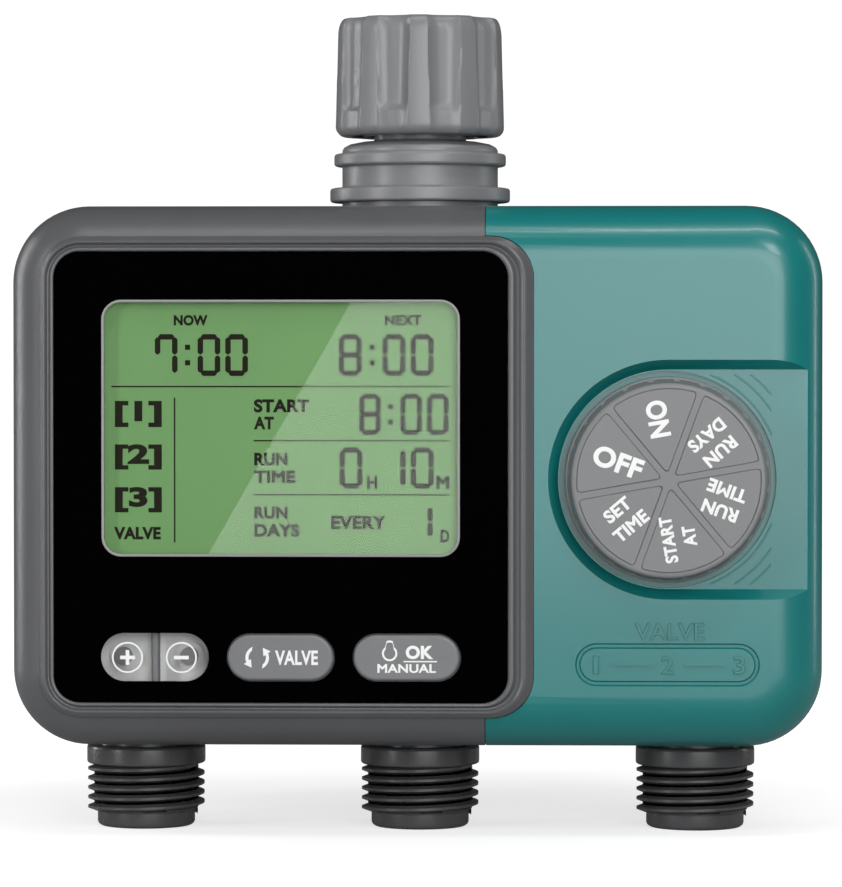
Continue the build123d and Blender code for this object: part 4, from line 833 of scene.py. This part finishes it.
ink = []
for text, across, down, digit_w, digit_h, thick in (
        ("7:00", 0.147, 0.215, 5.1, 9.4, 1.24), ("8:00", 0.661, 0.215, 5.2, 9.4, 1.24),
        ("8:00", 0.718, 0.446, 4.9, 9.3, 1.2), ("0", 0.663, 0.655, 5.2, 9.3, 1.24),
        ("1", 0.786, 0.655, 5.0, 9.3, 1.24), ("0", 0.862, 0.655, 5.2, 9.3, 1.24),
        ("1", 0.864, 0.865, 4.8, 7.8, 1.2)):
    x, z = on_screen(across, down)
    ink += number(text, x, z, digit_w * mm, digit_h * mm, thick * mm)
for text, left, right, top, bottom in (
        ("NOW", 0.200, 0.295, 0.059, 0.100), ("NEXT", 0.790, 0.893, 0.059, 0.100),
        ("[1]", 0.035, 0.166, 0.394, 0.496), ("[2]", 0.035, 0.166, 0.563, 0.662),
        ("[3]", 0.035, 0.166, 0.730, 0.829), ("VALVE", 0.032, 0.163, 0.886, 0.935),
        ("START", 0.424, 0.579, 0.387, 0.439), ("AT", 0.424, 0.480, 0.455, 0.505),
        ("RUN", 0.425, 0.518, 0.596, 0.646), ("TIME", 0.425, 0.540, 0.665, 0.714),
        ("RUN", 0.425, 0.518, 0.806, 0.854), ("DAYS", 0.425, 0.552, 0.873, 0.925),
        ("EVERY", 0.640, 0.795, 0.841, 0.895), ("H", 0.740, 0.769, 0.685, 0.737),
        ("M", 0.934, 0.970, 0.685, 0.737), ("D", 0.945, 0.970, 0.895, 0.946)):
    x0, z0 = on_screen(left, top)
    x1, z1 = on_screen(right, bottom)
    ink.append(words(text, x1 - x0, z0 - z1, (x0 + x1) / 2, (z0 + z1) / 2, ink_y, stroke=0.045, raised=0.02 * mm))
line = 0.32 * mm
for (left, top), (right, bottom) in (((0.027, 0.338), (0.969, 0.338)), ((0.202, 0.384), (0.202, 0.944)),
                                     ((0.425, 0.549), (0.969, 0.549)), ((0.425, 0.760), (0.969, 0.760))):
    x0, z0 = on_screen(left, top)
    x1, z1 = on_screen(right, bottom)
    ink.append(block("rule", (x0 - line / 2, ink_y, z1 - line / 2),
                     (x1 + line / 2, ink_y + 0.02 * mm, z0 + line / 2)))
ink = joined("display_segments", ink)
lcd_ink = moulded("lcd_ink", (0.016, 0.012, 0.008), 0.5, grain=0.05, tone=0.2, specular=0.1)
dress(ink, lcd_ink)
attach(ink, "case")

# ---------------------------------------------------------------- keys
# Three pill-shaped grey keys in the panel, each with a crowned edge and white printed marks.
print_white = moulded("print_white", (0.83, 0.83, 0.83), 0.5, grain=0.1, tone=0.03)
key_grey = moulded("key_grey", (0.160, 0.163, 0.170), 0.40, grain=0.35, tone=0.08, grain_size=0.3)
key_front = min(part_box(node)[0].y for node in key_nodes)
mark_y = key_front - 0.02 * mm
key_bodies = {"key_plus_minus": "rocker_key", "key_zone": "zone_key", "key_ok": "ok_key"}


def ring(x, z, radius, thick, y, steps=48):
    """Flat printed ring."""
    pick(None)
    bpy.ops.mesh.primitive_torus_add(location=(x, y, z), rotation=(math.pi / 2, 0, 0), major_segments=steps,
                                     minor_segments=4, major_radius=radius, minor_radius=thick / 2)
    piece = started("ring")
    choose(piece, "VERT", lambda v: True)
    bpy.ops.transform.resize(value=(1, 0.08, 1), center_override=(x, y, z))
    pick(piece)
    return piece


def stroke_box(x, z, width, height, y=None):
    """Flat printed bar."""
    y = mark_y if y is None else y
    return block("stroke", (x - width / 2, y - 0.02 * mm, z - height / 2),
                 (x + width / 2, y + 0.03 * mm, z + height / 2))


def arrow_arc(x, z, radius, start, stop, thick):
    """Quarter-turn arrow drawn from one angle to another, with its head at the end."""
    turn_piece = ring(x, z, radius, thick, mark_y)
    middle = math.radians((start + stop) / 2)
    half = math.radians(abs(stop - start) / 2)
    sense = 1 if stop > start else -1
    spot = Vector((x, mark_y, z))
    out = Vector((math.cos(middle), 0, math.sin(middle)))
    choose(turn_piece, "FACE", lambda f: True)
    bpy.ops.mesh.bisect(plane_co=spot + out * math.cos(half) * radius, plane_no=out, use_fill=True,
                        clear_inner=True)
    end = math.radians(stop)
    point = Vector((math.cos(end), 0, math.sin(end))) * radius
    ahead = Vector((-math.sin(end), 0, math.cos(end))) * sense
    pick(None)
    bpy.ops.mesh.primitive_cylinder_add(vertices=3, radius=thick * 1.6, depth=0.05 * mm,
                                        location=spot + point, rotation=(math.pi / 2, 0, 0))
    head = started("head")
    corner = max((v.co - spot - point for v in head.data.vertices), key=lambda c: c.z)
    turn = math.atan2(ahead.z, ahead.x) - math.atan2(corner.z, corner.x)
    about = Matrix.Translation(spot + point)
    head.data.transform(about @ Matrix.Rotation(-turn, 4, "Y") @ about.inverted())
    return [turn_piece, head]


marks = {node: [] for node in key_nodes}
x = key_x["key_plus_minus"]
sign_w, sign_line = 3.3 * mm, 0.8 * mm
for side in (-1, 1):
    spot = x + side * 6.05 * mm
    marks["key_plus_minus"].append(ring(spot, key_z, 3.3 * mm, 0.36 * mm, mark_y))
    marks["key_plus_minus"].append(stroke_box(spot, key_z, sign_w, sign_line))
upright_h = (sign_w - sign_line) / 2
for side in (-1, 1):
    marks["key_plus_minus"].append(stroke_box(x - 6.05 * mm, key_z + side * (sign_line + upright_h) / 2,
                                              sign_line, upright_h))
x = key_x["key_zone"]
marks["key_zone"] += arrow_arc(x - 5.2 * mm, key_z, 2.3 * mm, 120, 215, 0.7 * mm)
marks["key_zone"] += arrow_arc(x - 5.2 * mm, key_z, 2.3 * mm, -60, 35, 0.7 * mm)
marks["key_zone"].append(words("VALVE", 9.6 * mm, 3.3 * mm, x + 3.6 * mm, key_z, mark_y, stroke=0.03,
                               raised=0.03 * mm))
x = key_x["key_ok"]
marks["key_ok"].append(words("OK", 6.2 * mm, 3.05 * mm, x + 2.9 * mm, key_z + 1.25 * mm, mark_y,
                             stroke=0.045, raised=0.03 * mm))
marks["key_ok"].append(stroke_box(x + 3.05 * mm, key_z - 0.8 * mm, 7.5 * mm, 0.3 * mm))
marks["key_ok"].append(words("MANUAL", 13.1 * mm, 2.0 * mm, x, key_z - 2.35 * mm, mark_y, stroke=0.03,
                             raised=0.03 * mm))
drop = ring(x - 3.8 * mm, key_z + 1.0 * mm, 1.5 * mm, 0.45 * mm, mark_y)
choose(drop, "VERT", lambda v: v.co.z > key_z + 1.0 * mm and abs(v.co.x - (x - 3.8 * mm)) < 0.8 * mm)
bpy.ops.transform.translate(value=(0, 0, 1.2 * mm))
pick(drop)
marks["key_ok"].append(drop)

for node in key_nodes:
    x = key_x[node]
    low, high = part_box(node)
    flange_y = panel_back + (1.0 * mm if node == "key_plus_minus" else 0.15 * mm)
    cap = block(f"{node}_cap", (x - key_w / 2, key_front, key_z - key_h / 2),
                (x + key_w / 2, flange_y, key_z + key_h / 2), key_h / 2 - 1e-6, 0.7 * mm, ("front",), 20)
    flange = block("flange", (x - key_w / 2 - mm, flange_y - 0.1 * mm, key_z - key_h / 2 - mm),
                   (x + key_w / 2 + mm, flange_y + 1.2 * mm, key_z + key_h / 2 + mm), key_h / 2 + mm - 1e-6)
    combine(cap, flange, "UNION")
    if node == "key_plus_minus":
        combine(cap, block("divider", (x - 0.45 * mm, 2 * key_front, key_z - 4.15 * mm),
                           (x + 0.45 * mm, key_front + 0.6 * mm, key_z + 4.15 * mm), 0.44 * mm, steps=6))
    stems = (-key_w / 3.2, key_w / 3.2) if node == "key_plus_minus" else (0.0,)
    for dx in stems:
        combine(cap, drum("stem", (x + dx, (flange_y + mm + high.y) / 2, key_z), 2.0 * mm,
                          high.y - flange_y - mm, "Y", 32), "UNION")
    if node == "key_plus_minus":
        combine(cap, drum("pivot", (x, panel_back + 1.6 * mm, key_z), 1.0 * mm, high.z - low.z, "Z", 32), "UNION")
    soften(cap, 24)
    dress(cap, key_grey)
    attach(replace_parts(cap, node), key_bodies[node])
    mark = dress(joined(f"{node}_marks", marks[node]), print_white)
    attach(mark, key_bodies[node])

# ---------------------------------------------------------------- selector dial
# Grey moulded knob with a notched rim; six wedge pads stand between sunk lines, each with
# a printed function.
dial_front, dial_back = dial_low.y, dial_high.y
face_r = 21.7 * mm
pad_count = 6
first_spoke = math.radians(10.0)
spoke_half = 0.62 * mm
line_w = 0.2 * mm
centre = Vector((dial_x, dial_front, dial_z))


def turned(name, profile, axis="Y", steps=128, centre=(0.0, 0.0), solid=False):
    """Turned piece: a ring drawn through each (radius, place along the axis) in order, then closed
    into a tube, or with both ends filled when it is solid."""
    radius, along = profile[0]
    across = (0, 2) if axis == "Y" else (0, 1)
    lengthwise = 1 if axis == "Y" else 2
    spot = (centre[0], along, centre[1]) if axis == "Y" else (centre[0], centre[1], along)
    pick(None)
    bpy.ops.mesh.primitive_circle_add(vertices=steps, radius=radius, location=spot, fill_type="NOTHING",
                                      rotation=(math.pi / 2, 0, 0) if axis == "Y" else (0, 0, 0))
    piece = started(name)
    choose(piece, "VERT", lambda v: True)
    bpy.ops.mesh.select_all(action="SELECT")
    for (radius, along), (next_radius, next_along) in zip(profile, profile[1:] + profile[:1]):
        if solid and next_along == profile[0][1] and next_radius == profile[0][0]:
            bpy.ops.mesh.select_all(action="SELECT")
            bpy.ops.mesh.fill_holes(sides=0)
            break
        bpy.ops.mesh.extrude_edges_move()
        form = bmesh.from_edit_mesh(piece.data)
        for vertex in (v for v in form.verts if v.select):
            for k in (0, 1):
                vertex.co[across[k]] = centre[k] + (vertex.co[across[k]] - centre[k]) / radius * next_radius
            vertex.co[lengthwise] = next_along
        bmesh.update_edit_mesh(piece.data)
    bpy.ops.mesh.select_all(action="SELECT")
    bpy.ops.mesh.remove_doubles(threshold=1e-6)
    bpy.ops.mesh.normals_make_consistent(inside=False)
    pick(piece)
    return piece


def wedge(name, radius, inset, front, back):
    """Sector between two spokes, with rounded corners, as a plate."""
    plate_piece = drum(name, (dial_x, (front + back) / 2, dial_z), radius, back - front, "Y", 180)
    for spoke, keep in ((first_spoke, 1), (first_spoke + math.tau / pad_count, -1)):
        along = Vector((math.cos(spoke), 0, math.sin(spoke)))
        across = Vector((-math.sin(spoke), 0, math.cos(spoke))) * keep
        choose(plate_piece, "FACE", lambda f: True)
        bpy.ops.mesh.bisect(plane_co=Vector((dial_x, front, dial_z)) + across * inset, plane_no=across,
                            use_fill=True, clear_inner=True)
    choose(plate_piece, "EDGE", lambda e: abs(e.verts[0].co.y - e.verts[1].co.y) > 1e-6
           and e.calc_face_angle(0) > 0.5)
    bpy.ops.mesh.bevel(offset=1.25 * mm, segments=6, affect="EDGES", clamp_overlap=False)
    pick(plate_piece)
    return plate_piece


def turned_copy(piece, angle):
    """Copy of a piece with its own mesh, turned about the dial's axis."""
    twin = piece.copy()
    twin.data = piece.data.copy()
    bpy.context.scene.collection.objects.link(twin)
    about = Matrix.Translation((dial_x, 0, dial_z))
    twin.data.transform(about @ Matrix.Rotation(-angle, 4, "Y") @ about.inverted())
    return twin


knob = turned("dial_knob_body", [
    (face_r - 1.0 * mm, dial_front), (face_r - 0.45 * mm, dial_front + 0.12 * mm),
    (face_r - 0.12 * mm, dial_front + 0.4 * mm), (face_r, dial_front + 0.8 * mm),
    (dial_r - 0.45 * mm, dial_back - 2.3 * mm), (dial_r - 0.1 * mm, dial_back - 2.05 * mm),
    (dial_r, dial_back - 1.8 * mm), (dial_r, dial_back), (dial_r - 2.0 * mm, dial_back),
    (face_r - 2.2 * mm, dial_front + 2.4 * mm), (5.4 * mm, dial_front + 2.4 * mm),
    (5.4 * mm, dial_back - 0.4 * mm)], "Y", 192, (dial_x, dial_z), solid=True)
notch_tools = []
for i in range(24):
    angle = math.radians(15.0 * i + 10.0)
    spot = (dial_x + (dial_r + 0.1 * mm) * math.cos(angle), (dial_front + dial_back) / 2 - 3.4 * mm,
            dial_z + (dial_r + 0.1 * mm) * math.sin(angle))
    notch_tools.append(drum("notch", spot, 1.1 * mm, 11.0 * mm, "Y", 16))
combine(knob, joined("notches", notch_tools))
first_bed = wedge("bed", face_r - 1.15 * mm, spoke_half, dial_front - 0.5 * mm, dial_front + 0.55 * mm)
pad_front = dial_front + 0.04 * mm
first_pad = wedge("pad", face_r - 1.15 * mm - line_w, spoke_half + line_w, pad_front, dial_front + 0.7 * mm)
choose(first_pad, "EDGE", lambda e: all(abs(v.co.y - pad_front) < 1e-6 for v in e.verts))
bpy.ops.mesh.bevel(offset=0.12 * mm, segments=2, affect="EDGES")
pick(first_pad)
beds, pads = [], []
for i in range(pad_count):
    angle = i * math.tau / pad_count
    beds.append(turned_copy(first_bed, angle))
    pads.append(turned_copy(first_pad, angle))
for spare in (first_bed, first_pad):
    bpy.data.objects.remove(spare, do_unlink=True)
combine(knob, joined("beds", beds))
soften(knob, 28)
pads = soften(joined("pads", pads), 40)
knob = joined("dial_knob_body", [knob, pads])
dial_grey = moulded("dial_grey", (0.185, 0.188, 0.193), 0.44, grain=0.25, tone=0.04)
dress(knob, dial_grey)
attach(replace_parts(knob, "dial_knob"), "selector_dial")

legends = []
for degrees, lines_of_text in (
        (160, (("OFF", 11.3, 4.7, 12.0),)), (100, (("ON", 8.2, 4.7, 13.9),)),
        (40, (("RUN", 8.2, 3.0, 12.9), ("DAYS", 9.4, 3.0, 12.9))),
        (340, (("RUN", 8.2, 3.0, 12.9), ("TIME", 9.0, 3.0, 12.9))),
        (280, (("START", 10.4, 2.9, 12.9), ("AT", 4.6, 2.9, 12.9))),
        (220, (("SET", 6.6, 3.0, 12.9), ("TIME", 8.8, 3.0, 12.9)))):
    angle = math.radians(degrees)
    # The words read from the rim towards the centre
    reading = angle + math.pi
    up = Vector((-math.sin(reading), math.cos(reading)))
    for k, (text, wide, high, radius) in enumerate(lines_of_text):
        shift = (len(lines_of_text) / 2 - 0.5 - k) * 4.7 * mm
        spot = Vector((math.cos(angle), math.sin(angle))) * radius * mm + up * shift
        legends.append(words(text, wide * mm, high * mm, dial_x + spot.x, dial_z + spot.y,
                             pad_front - 0.01 * mm, -reading, stroke=0.04, raised=0.025 * mm))
legends = dress(joined("dial_legends", legends), print_white)
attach(legends, "selector_dial")

# ---------------------------------------------------------------- inlet stem
# Grey nylon stem with two flanges, clamped in the top of the case; the nut turns below its lip.
stem_low, stem_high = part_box("inlet_stem")
nut_low, nut_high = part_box("coupling_nut")
case_top = case_high.z
stem_profile = [
    (8.0, stem_low.z / mm), (11.0, stem_low.z / mm), (11.0, case_top / mm - 5.6), (20.5, case_top / mm - 5.6),
    (20.5, case_top / mm - 2.8), (17.95, case_top / mm - 2.8), (17.95, case_top / mm + 1.3),
    (18.2, case_top / mm + 1.4), (20.05, case_top / mm + 1.4), (20.45, case_top / mm + 1.5),
    (20.7, case_top / mm + 1.8), (20.75, case_top / mm + 2.1), (20.75, case_top / mm + 4.0),
    (20.7, case_top / mm + 4.3), (20.45, case_top / mm + 4.6), (20.05, case_top / mm + 4.7),
    (18.3, case_top / mm + 4.7), (17.95, case_top / mm + 5.0), (17.95, nut_low.z / mm - 7.2),
    (18.2, nut_low.z / mm - 6.9), (19.1, nut_low.z / mm - 6.9), (19.55, nut_low.z / mm - 6.75),
    (19.78, nut_low.z / mm - 6.4), (19.8, nut_low.z / mm - 6.1), (19.8, nut_low.z / mm - 4.8),
    (19.75, nut_low.z / mm - 4.45), (19.5, nut_low.z / mm - 4.1), (19.1, nut_low.z / mm - 4.0),
    (18.2, nut_low.z / mm - 4.0), (17.95, nut_low.z / mm - 3.7), (17.9, nut_low.z / mm - 3.1),
    (17.5, nut_low.z / mm - 2.5), (16.2, nut_low.z / mm - 1.8), (13.4, nut_low.z / mm - 1.25),
    (10.9, nut_low.z / mm - 1.1), (10.6, nut_low.z / mm - 0.8), (10.6, -7.2), (11.15, -7.0), (13.3, -7.0),
    (13.3, -3.0), (8.0, -3.0)]
stem = turned("inlet_stem_body", [(r * mm, z * mm) for r, z in stem_profile], "Z", 144)
soften(stem, 28)
stem_grey = moulded("stem_grey", (0.185, 0.188, 0.195), 0.34, grain=0.5, tone=0.10)
dress(stem, stem_grey)
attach(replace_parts(stem, "inlet_stem"), "case")
mesh_steel = metal("filter_mesh", (0.52, 0.53, 0.54), 0.3, streaks=900.0, scratch=0.6)
dress(frame["nodes"]["filter_screen"], mesh_steel)

# ---------------------------------------------------------------- coupling nut
# Swivel nut in glass-filled nylon with ten broad finger scallops and a female hose thread.
nut_top_r, nut_foot_r = 19.2, 19.7
nut_bottom, nut_top = nut_low.z / mm, nut_high.z / mm
scallops = 10
scallop_depth = 1.7
scallop_foot = nut_bottom + 5.2
first_land = math.radians(-89.1)
female_root_r, female_crest_r, thread_pitch = 13.62, 12.19, 2.209
rise_steps = 26
outside = [(16.4, nut_bottom), (nut_foot_r - 2.2, nut_bottom)]
for k in range(1, 9):
    t = k / 8 * math.pi / 2
    outside.append((nut_foot_r - 2.2 + 2.2 * math.sin(t), nut_bottom + 2.2 - 2.2 * math.cos(t)))
for k in range(1, rise_steps + 1):
    share = k / rise_steps
    outside.append((nut_foot_r + (nut_top_r - nut_foot_r) * share,
                    nut_bottom + 2.2 + (nut_top - 4.0 - nut_bottom - 2.2) * share))
for k in range(1, 11):
    t = k / 10 * math.pi / 2
    outside.append((nut_top_r - 1.7 + 1.7 * math.cos(t), nut_top - 4.0 + 4.0 * math.sin(t)))
inside = [(female_root_r + 1.2, nut_top), (female_root_r + 0.35, nut_top - 0.3), (female_root_r, nut_top - 0.9),
          (female_root_r, -6.9), (13.8, -7.0), (13.8, -7.25), (11.45, -7.3), (11.45, nut_bottom),
          (13.1, nut_bottom), (13.1, nut_bottom + 5.0), (15.7, nut_bottom + 5.0), (15.7, nut_bottom)]
nut = turned("coupling_nut_body", [(r * mm, z * mm) for r, z in outside + inside], "Z", 360)
for vertex in nut.data.vertices:
    radius, height = vertex.co.xy.length / mm, vertex.co.z / mm
    if radius < 15.9:
        continue
    angle = math.atan2(vertex.co.y, vertex.co.x) - first_land
    from_middle = abs((angle / math.tau * scallops) % 1.0 - 0.5) * 2
    climb = min(1.0, max(0.0, (height - nut_bottom) / (nut_top - nut_bottom)))
    width = 0.56 + 0.12 * climb
    # The flutes are shallower below a step near the foot
    step = min(1.0, max(0.0, (height - scallop_foot) / 1.4))
    depth = scallop_depth * (0.42 + 0.58 * step * step * (3 - 2 * step))
    hollow = max(0.0, 1 - (from_middle / width) ** 3.0)
    vertex.co.xy *= 1 - depth * hollow * min(1.0, (radius - 15.9) / 2.0) / radius


def thread(name, crest_r, root_r, crest_half, root_half, z_start, turns, pitch, steps=96):
    """Right-handed screw thread: a ridge drawn along its helix, sunk at both ends."""
    inward = 0.25 * mm if crest_r > root_r else -0.25 * mm
    pick(None)
    bpy.ops.mesh.primitive_plane_add(size=1, rotation=(math.pi / 2, 0, 0))
    ridge = started(name)
    corners = [(root_r - inward, -root_half), (root_r - inward, root_half),
               (crest_r, crest_half), (crest_r, -crest_half)]
    for vertex, (radius, height) in zip(
            sorted(ridge.data.vertices, key=lambda v: math.atan2(v.co.z, v.co.x)),
            [corners[0], corners[3], corners[2], corners[1]]):
        vertex.co = (radius, 0, height)
    choose(ridge, "FACE", lambda f: True)
    bpy.ops.mesh.delete(type="ONLY_FACE")
    modify(ridge, "SCREW", axis="Z", angle=math.tau, screw_offset=pitch, iterations=turns, steps=steps,
           render_steps=steps, use_smooth_shade=False, use_merge_vertices=False)
    choose(ridge, "EDGE", lambda e: e.is_boundary)
    bpy.ops.mesh.edge_face_add()
    pick(ridge)
    total = turns * steps
    rings = len(ridge.data.vertices) // 4
    for index, vertex in enumerate(ridge.data.vertices):
        # Rings are counted by height along the helix
        angle = math.atan2(vertex.co.y, vertex.co.x) % math.tau
        along = (vertex.co.z - angle / math.tau * pitch) / pitch
        progress = (round(along) + angle / math.tau) / turns
        from_end = min(progress, 1 - progress) * turns * 4
        share = min(1.0, max(0.0, from_end))
        radius = vertex.co.xy.length
        if abs(radius - crest_r) < 0.1 * mm:
            vertex.co.xy *= (root_r + (crest_r - root_r) * share - inward * (1 - share)) / radius
        vertex.co.z += z_start
    choose(ridge, "FACE", lambda f: True)
    bpy.ops.mesh.normals_make_consistent(inside=False)
    pick(ridge)
    return ridge


nut_thread = thread("nut_thread", female_crest_r * mm, female_root_r * mm, 0.45 * mm, 0.95 * mm,
                    0.2 * mm, 4, thread_pitch * mm)
combine(nut, nut_thread, "UNION")
soften(nut, 32)
nut_grey = moulded("nut_grey", (0.185, 0.188, 0.195), 0.32, grain=0.75, tone=0.10, grain_size=0.3)
dress(nut, nut_grey)
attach(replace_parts(nut, "coupling_nut"), "swivel_nut")

# ---------------------------------------------------------------- outlets
# Three black nylon spouts with a plain ring, a male hose thread and a chamfered tip,
# pushed into the manifold from below.
male_crest_r, male_root_r = 13.495, 12.06
outlet_black = moulded("outlet_black", (0.065, 0.065, 0.068), 0.28, grain=0.35, tone=0.2)
case_foot = case_low.z / mm
for side, x in outlet_x.items():
    low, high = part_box(f"outlet_{side}")
    tip, flange = low.z / mm, case_foot + 2.8
    profile = [(7.4, high.z / mm), (8.6, high.z / mm), (8.6, flange + 1.8), (12.6, flange + 1.8),
               (12.6, flange), (11.2, flange), (11.2, case_foot - 1.6), (12.9, case_foot - 1.6),
               (13.35, case_foot - 1.72), (13.6, case_foot - 2.0), (13.7, case_foot - 2.4),
               (13.7, case_foot - 5.4), (13.6, case_foot - 5.8), (13.3, case_foot - 6.0),
               (12.06, case_foot - 6.1), (12.06, tip + 4.2), (11.25, tip + 3.4), (11.25, tip + 1.0),
               (11.0, tip + 0.45), (10.5, tip + 0.1), (10.2, tip), (7.8, tip), (7.4, tip + 0.4)]
    spout = turned(f"outlet_{side}_spout", [(r * mm, z * mm) for r, z in profile], "Z", 144, (x, 0.0))
    male = thread("male", male_crest_r * mm, male_root_r * mm, 0.28 * mm, 0.92 * mm,
                  (case_foot - 17.3) * mm, 5, thread_pitch * mm)
    male.data.transform(Matrix.Translation((x, 0, 0)))
    combine(spout, male, "UNION")
    soften(spout, 28)
    dress(spout, outlet_black)
    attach(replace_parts(spout, f"outlet_{side}"), "case")

# ---------------------------------------------------------------- floor, light and camera
# Pale floor with a painted shadow round the timer, soft studio light from the upper right, and the camera.
floor_z = min(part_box(f"outlet_{side}")[0].z for side in outlet_x)
pick(None)
bpy.ops.mesh.primitive_plane_add(size=6, location=(0, 1.8, floor_z))
floor = started("floor")
paper = bpy.data.materials.new("paper")
paper.use_nodes = True
nodes, links = paper.node_tree.nodes, paper.node_tree.links
sheet = nodes["Principled BSDF"]
sheet.inputs["Base Color"].default_value = (0.5, 0.5, 0.5, 1)
sheet.inputs["Roughness"].default_value = 0.9
sheet.inputs["Specular IOR Level"].default_value = 0.1
sheet.inputs["Emission Color"].default_value = (1, 1, 1, 1)
place = nodes.new("ShaderNodeTexCoord")
far_off = nodes.new("ShaderNodeVectorMath")
far_off.operation = "LENGTH"
links.new(place.outputs["Object"], far_off.inputs[0])
# Painted shadow: for the camera the floor glows at 0.68 within 0.18 m of the timer's mount, rising to 1.05 beyond
# 0.36 m. The lamps' real shadows also fall on its grey base.
glow = nodes.new("ShaderNodeMapRange")
glow.inputs["From Min"].default_value = 0.18
glow.inputs["From Max"].default_value = 0.36
glow.inputs["To Min"].default_value = 0.68
glow.inputs["To Max"].default_value = 1.05
links.new(far_off.outputs["Value"], glow.inputs["Value"])
eye = nodes.new("ShaderNodeLightPath")
floor_glow_with_painted_shadow = nodes.new("ShaderNodeMath")
floor_glow_with_painted_shadow.operation = "MULTIPLY"
links.new(glow.outputs["Result"], floor_glow_with_painted_shadow.inputs[0])
links.new(eye.outputs["Is Camera Ray"], floor_glow_with_painted_shadow.inputs[1])
links.new(floor_glow_with_painted_shadow.outputs["Value"], sheet.inputs["Emission Strength"])
dress(floor, paper)

scene = bpy.context.scene
scene.view_settings.view_transform = "Standard"
scene.world = bpy.data.worlds.new("studio")
scene.world.use_nodes = True
sky = scene.world.node_tree
backdrop = sky.nodes["Background"]
backdrop.inputs["Color"].default_value = (1, 1, 1, 1)
seen = sky.nodes.new("ShaderNodeLightPath")
level_of_sky = sky.nodes.new("ShaderNodeMapRange")
level_of_sky.inputs["To Min"].default_value = 0.05
level_of_sky.inputs["To Max"].default_value = 1.05
sky.links.new(seen.outputs["Is Camera Ray"], level_of_sky.inputs["Value"])
sky.links.new(level_of_sky.outputs["Result"], backdrop.inputs["Strength"])

aim = Vector((0.0002, 0, case_mid + 6.85 * mm))


def softbox(name, place, width, height, power):
    """Soft area light that looks at the timer."""
    light = bpy.data.lights.new(name, "AREA")
    light.shape = "RECTANGLE"
    light.size, light.size_y = width, height
    light.energy = power
    lamp = bpy.data.objects.new(name, light)
    scene.collection.objects.link(lamp)
    lamp.location = place
    lamp.rotation_euler = (aim - Vector(place)).to_track_quat("-Z", "Y").to_euler()
    return lamp


softbox("front_box", (0.40, -1.50, 0.12), 1.0, 0.9, 15)
softbox("key_light", (0.60, -0.95, 0.60), 0.3, 0.3, 3)
softbox("top_strip", (0.15, -0.35, 0.70), 0.9, 0.05, 2.6)
softbox("left_strip", (-0.80, -0.60, 0.05), 0.10, 0.9, 5)
softbox("left_rim", (-0.75, 0.30, 0.0), 0.06, 0.8, 2.6)
softbox("right_rim", (0.75, 0.30, 0.0), 0.06, 0.8, 0.9)

camera = bpy.data.cameras.new("camera")
holder = bpy.data.objects.new("camera", camera)
scene.collection.objects.link(holder)
azimuth, elevation, distance = math.radians(1.85), math.radians(1.2), 1.05
back = Vector((math.sin(azimuth) * math.cos(elevation), -math.cos(azimuth) * math.cos(elevation),
               math.sin(elevation)))
holder.location = aim + back * distance
holder.rotation_euler = (-back).to_track_quat("-Z", "Y").to_euler()
camera.lens = 184.4
camera.clip_start, camera.clip_end = 0.05, 20.0
scene.camera = holder

# A bright card behind the camera, seen only in the window, where it leaves a slanting glare
mirrored = Vector((holder.location.x, 2 * lens_low.y - holder.location.y, holder.location.z))
card_y = holder.location.y - 0.4
pick(None)
bpy.ops.mesh.primitive_plane_add(size=1)
card = started("glare_card")
for vertex, (across, down) in zip(card.data.vertices, ((0.295, 1.0), (1.0, 1.0), (0.70, 0.0), (1.0, 0.0))):
    x, z = on_screen(across, down)
    ray = Vector((x, lens_low.y, z)) - mirrored
    vertex.co = mirrored + ray * (card_y - mirrored.y) / ray.y
card.visible_camera = card.visible_diffuse = card.visible_shadow = card.visible_transmission = False
white_card = bpy.data.materials.new("white_card")
white_card.use_nodes = True
glow = white_card.node_tree.nodes["Principled BSDF"]
glow.inputs["Emission Color"].default_value = (1, 1, 1, 1)
glow.inputs["Emission Strength"].default_value = 7.0
dress(card, white_card)
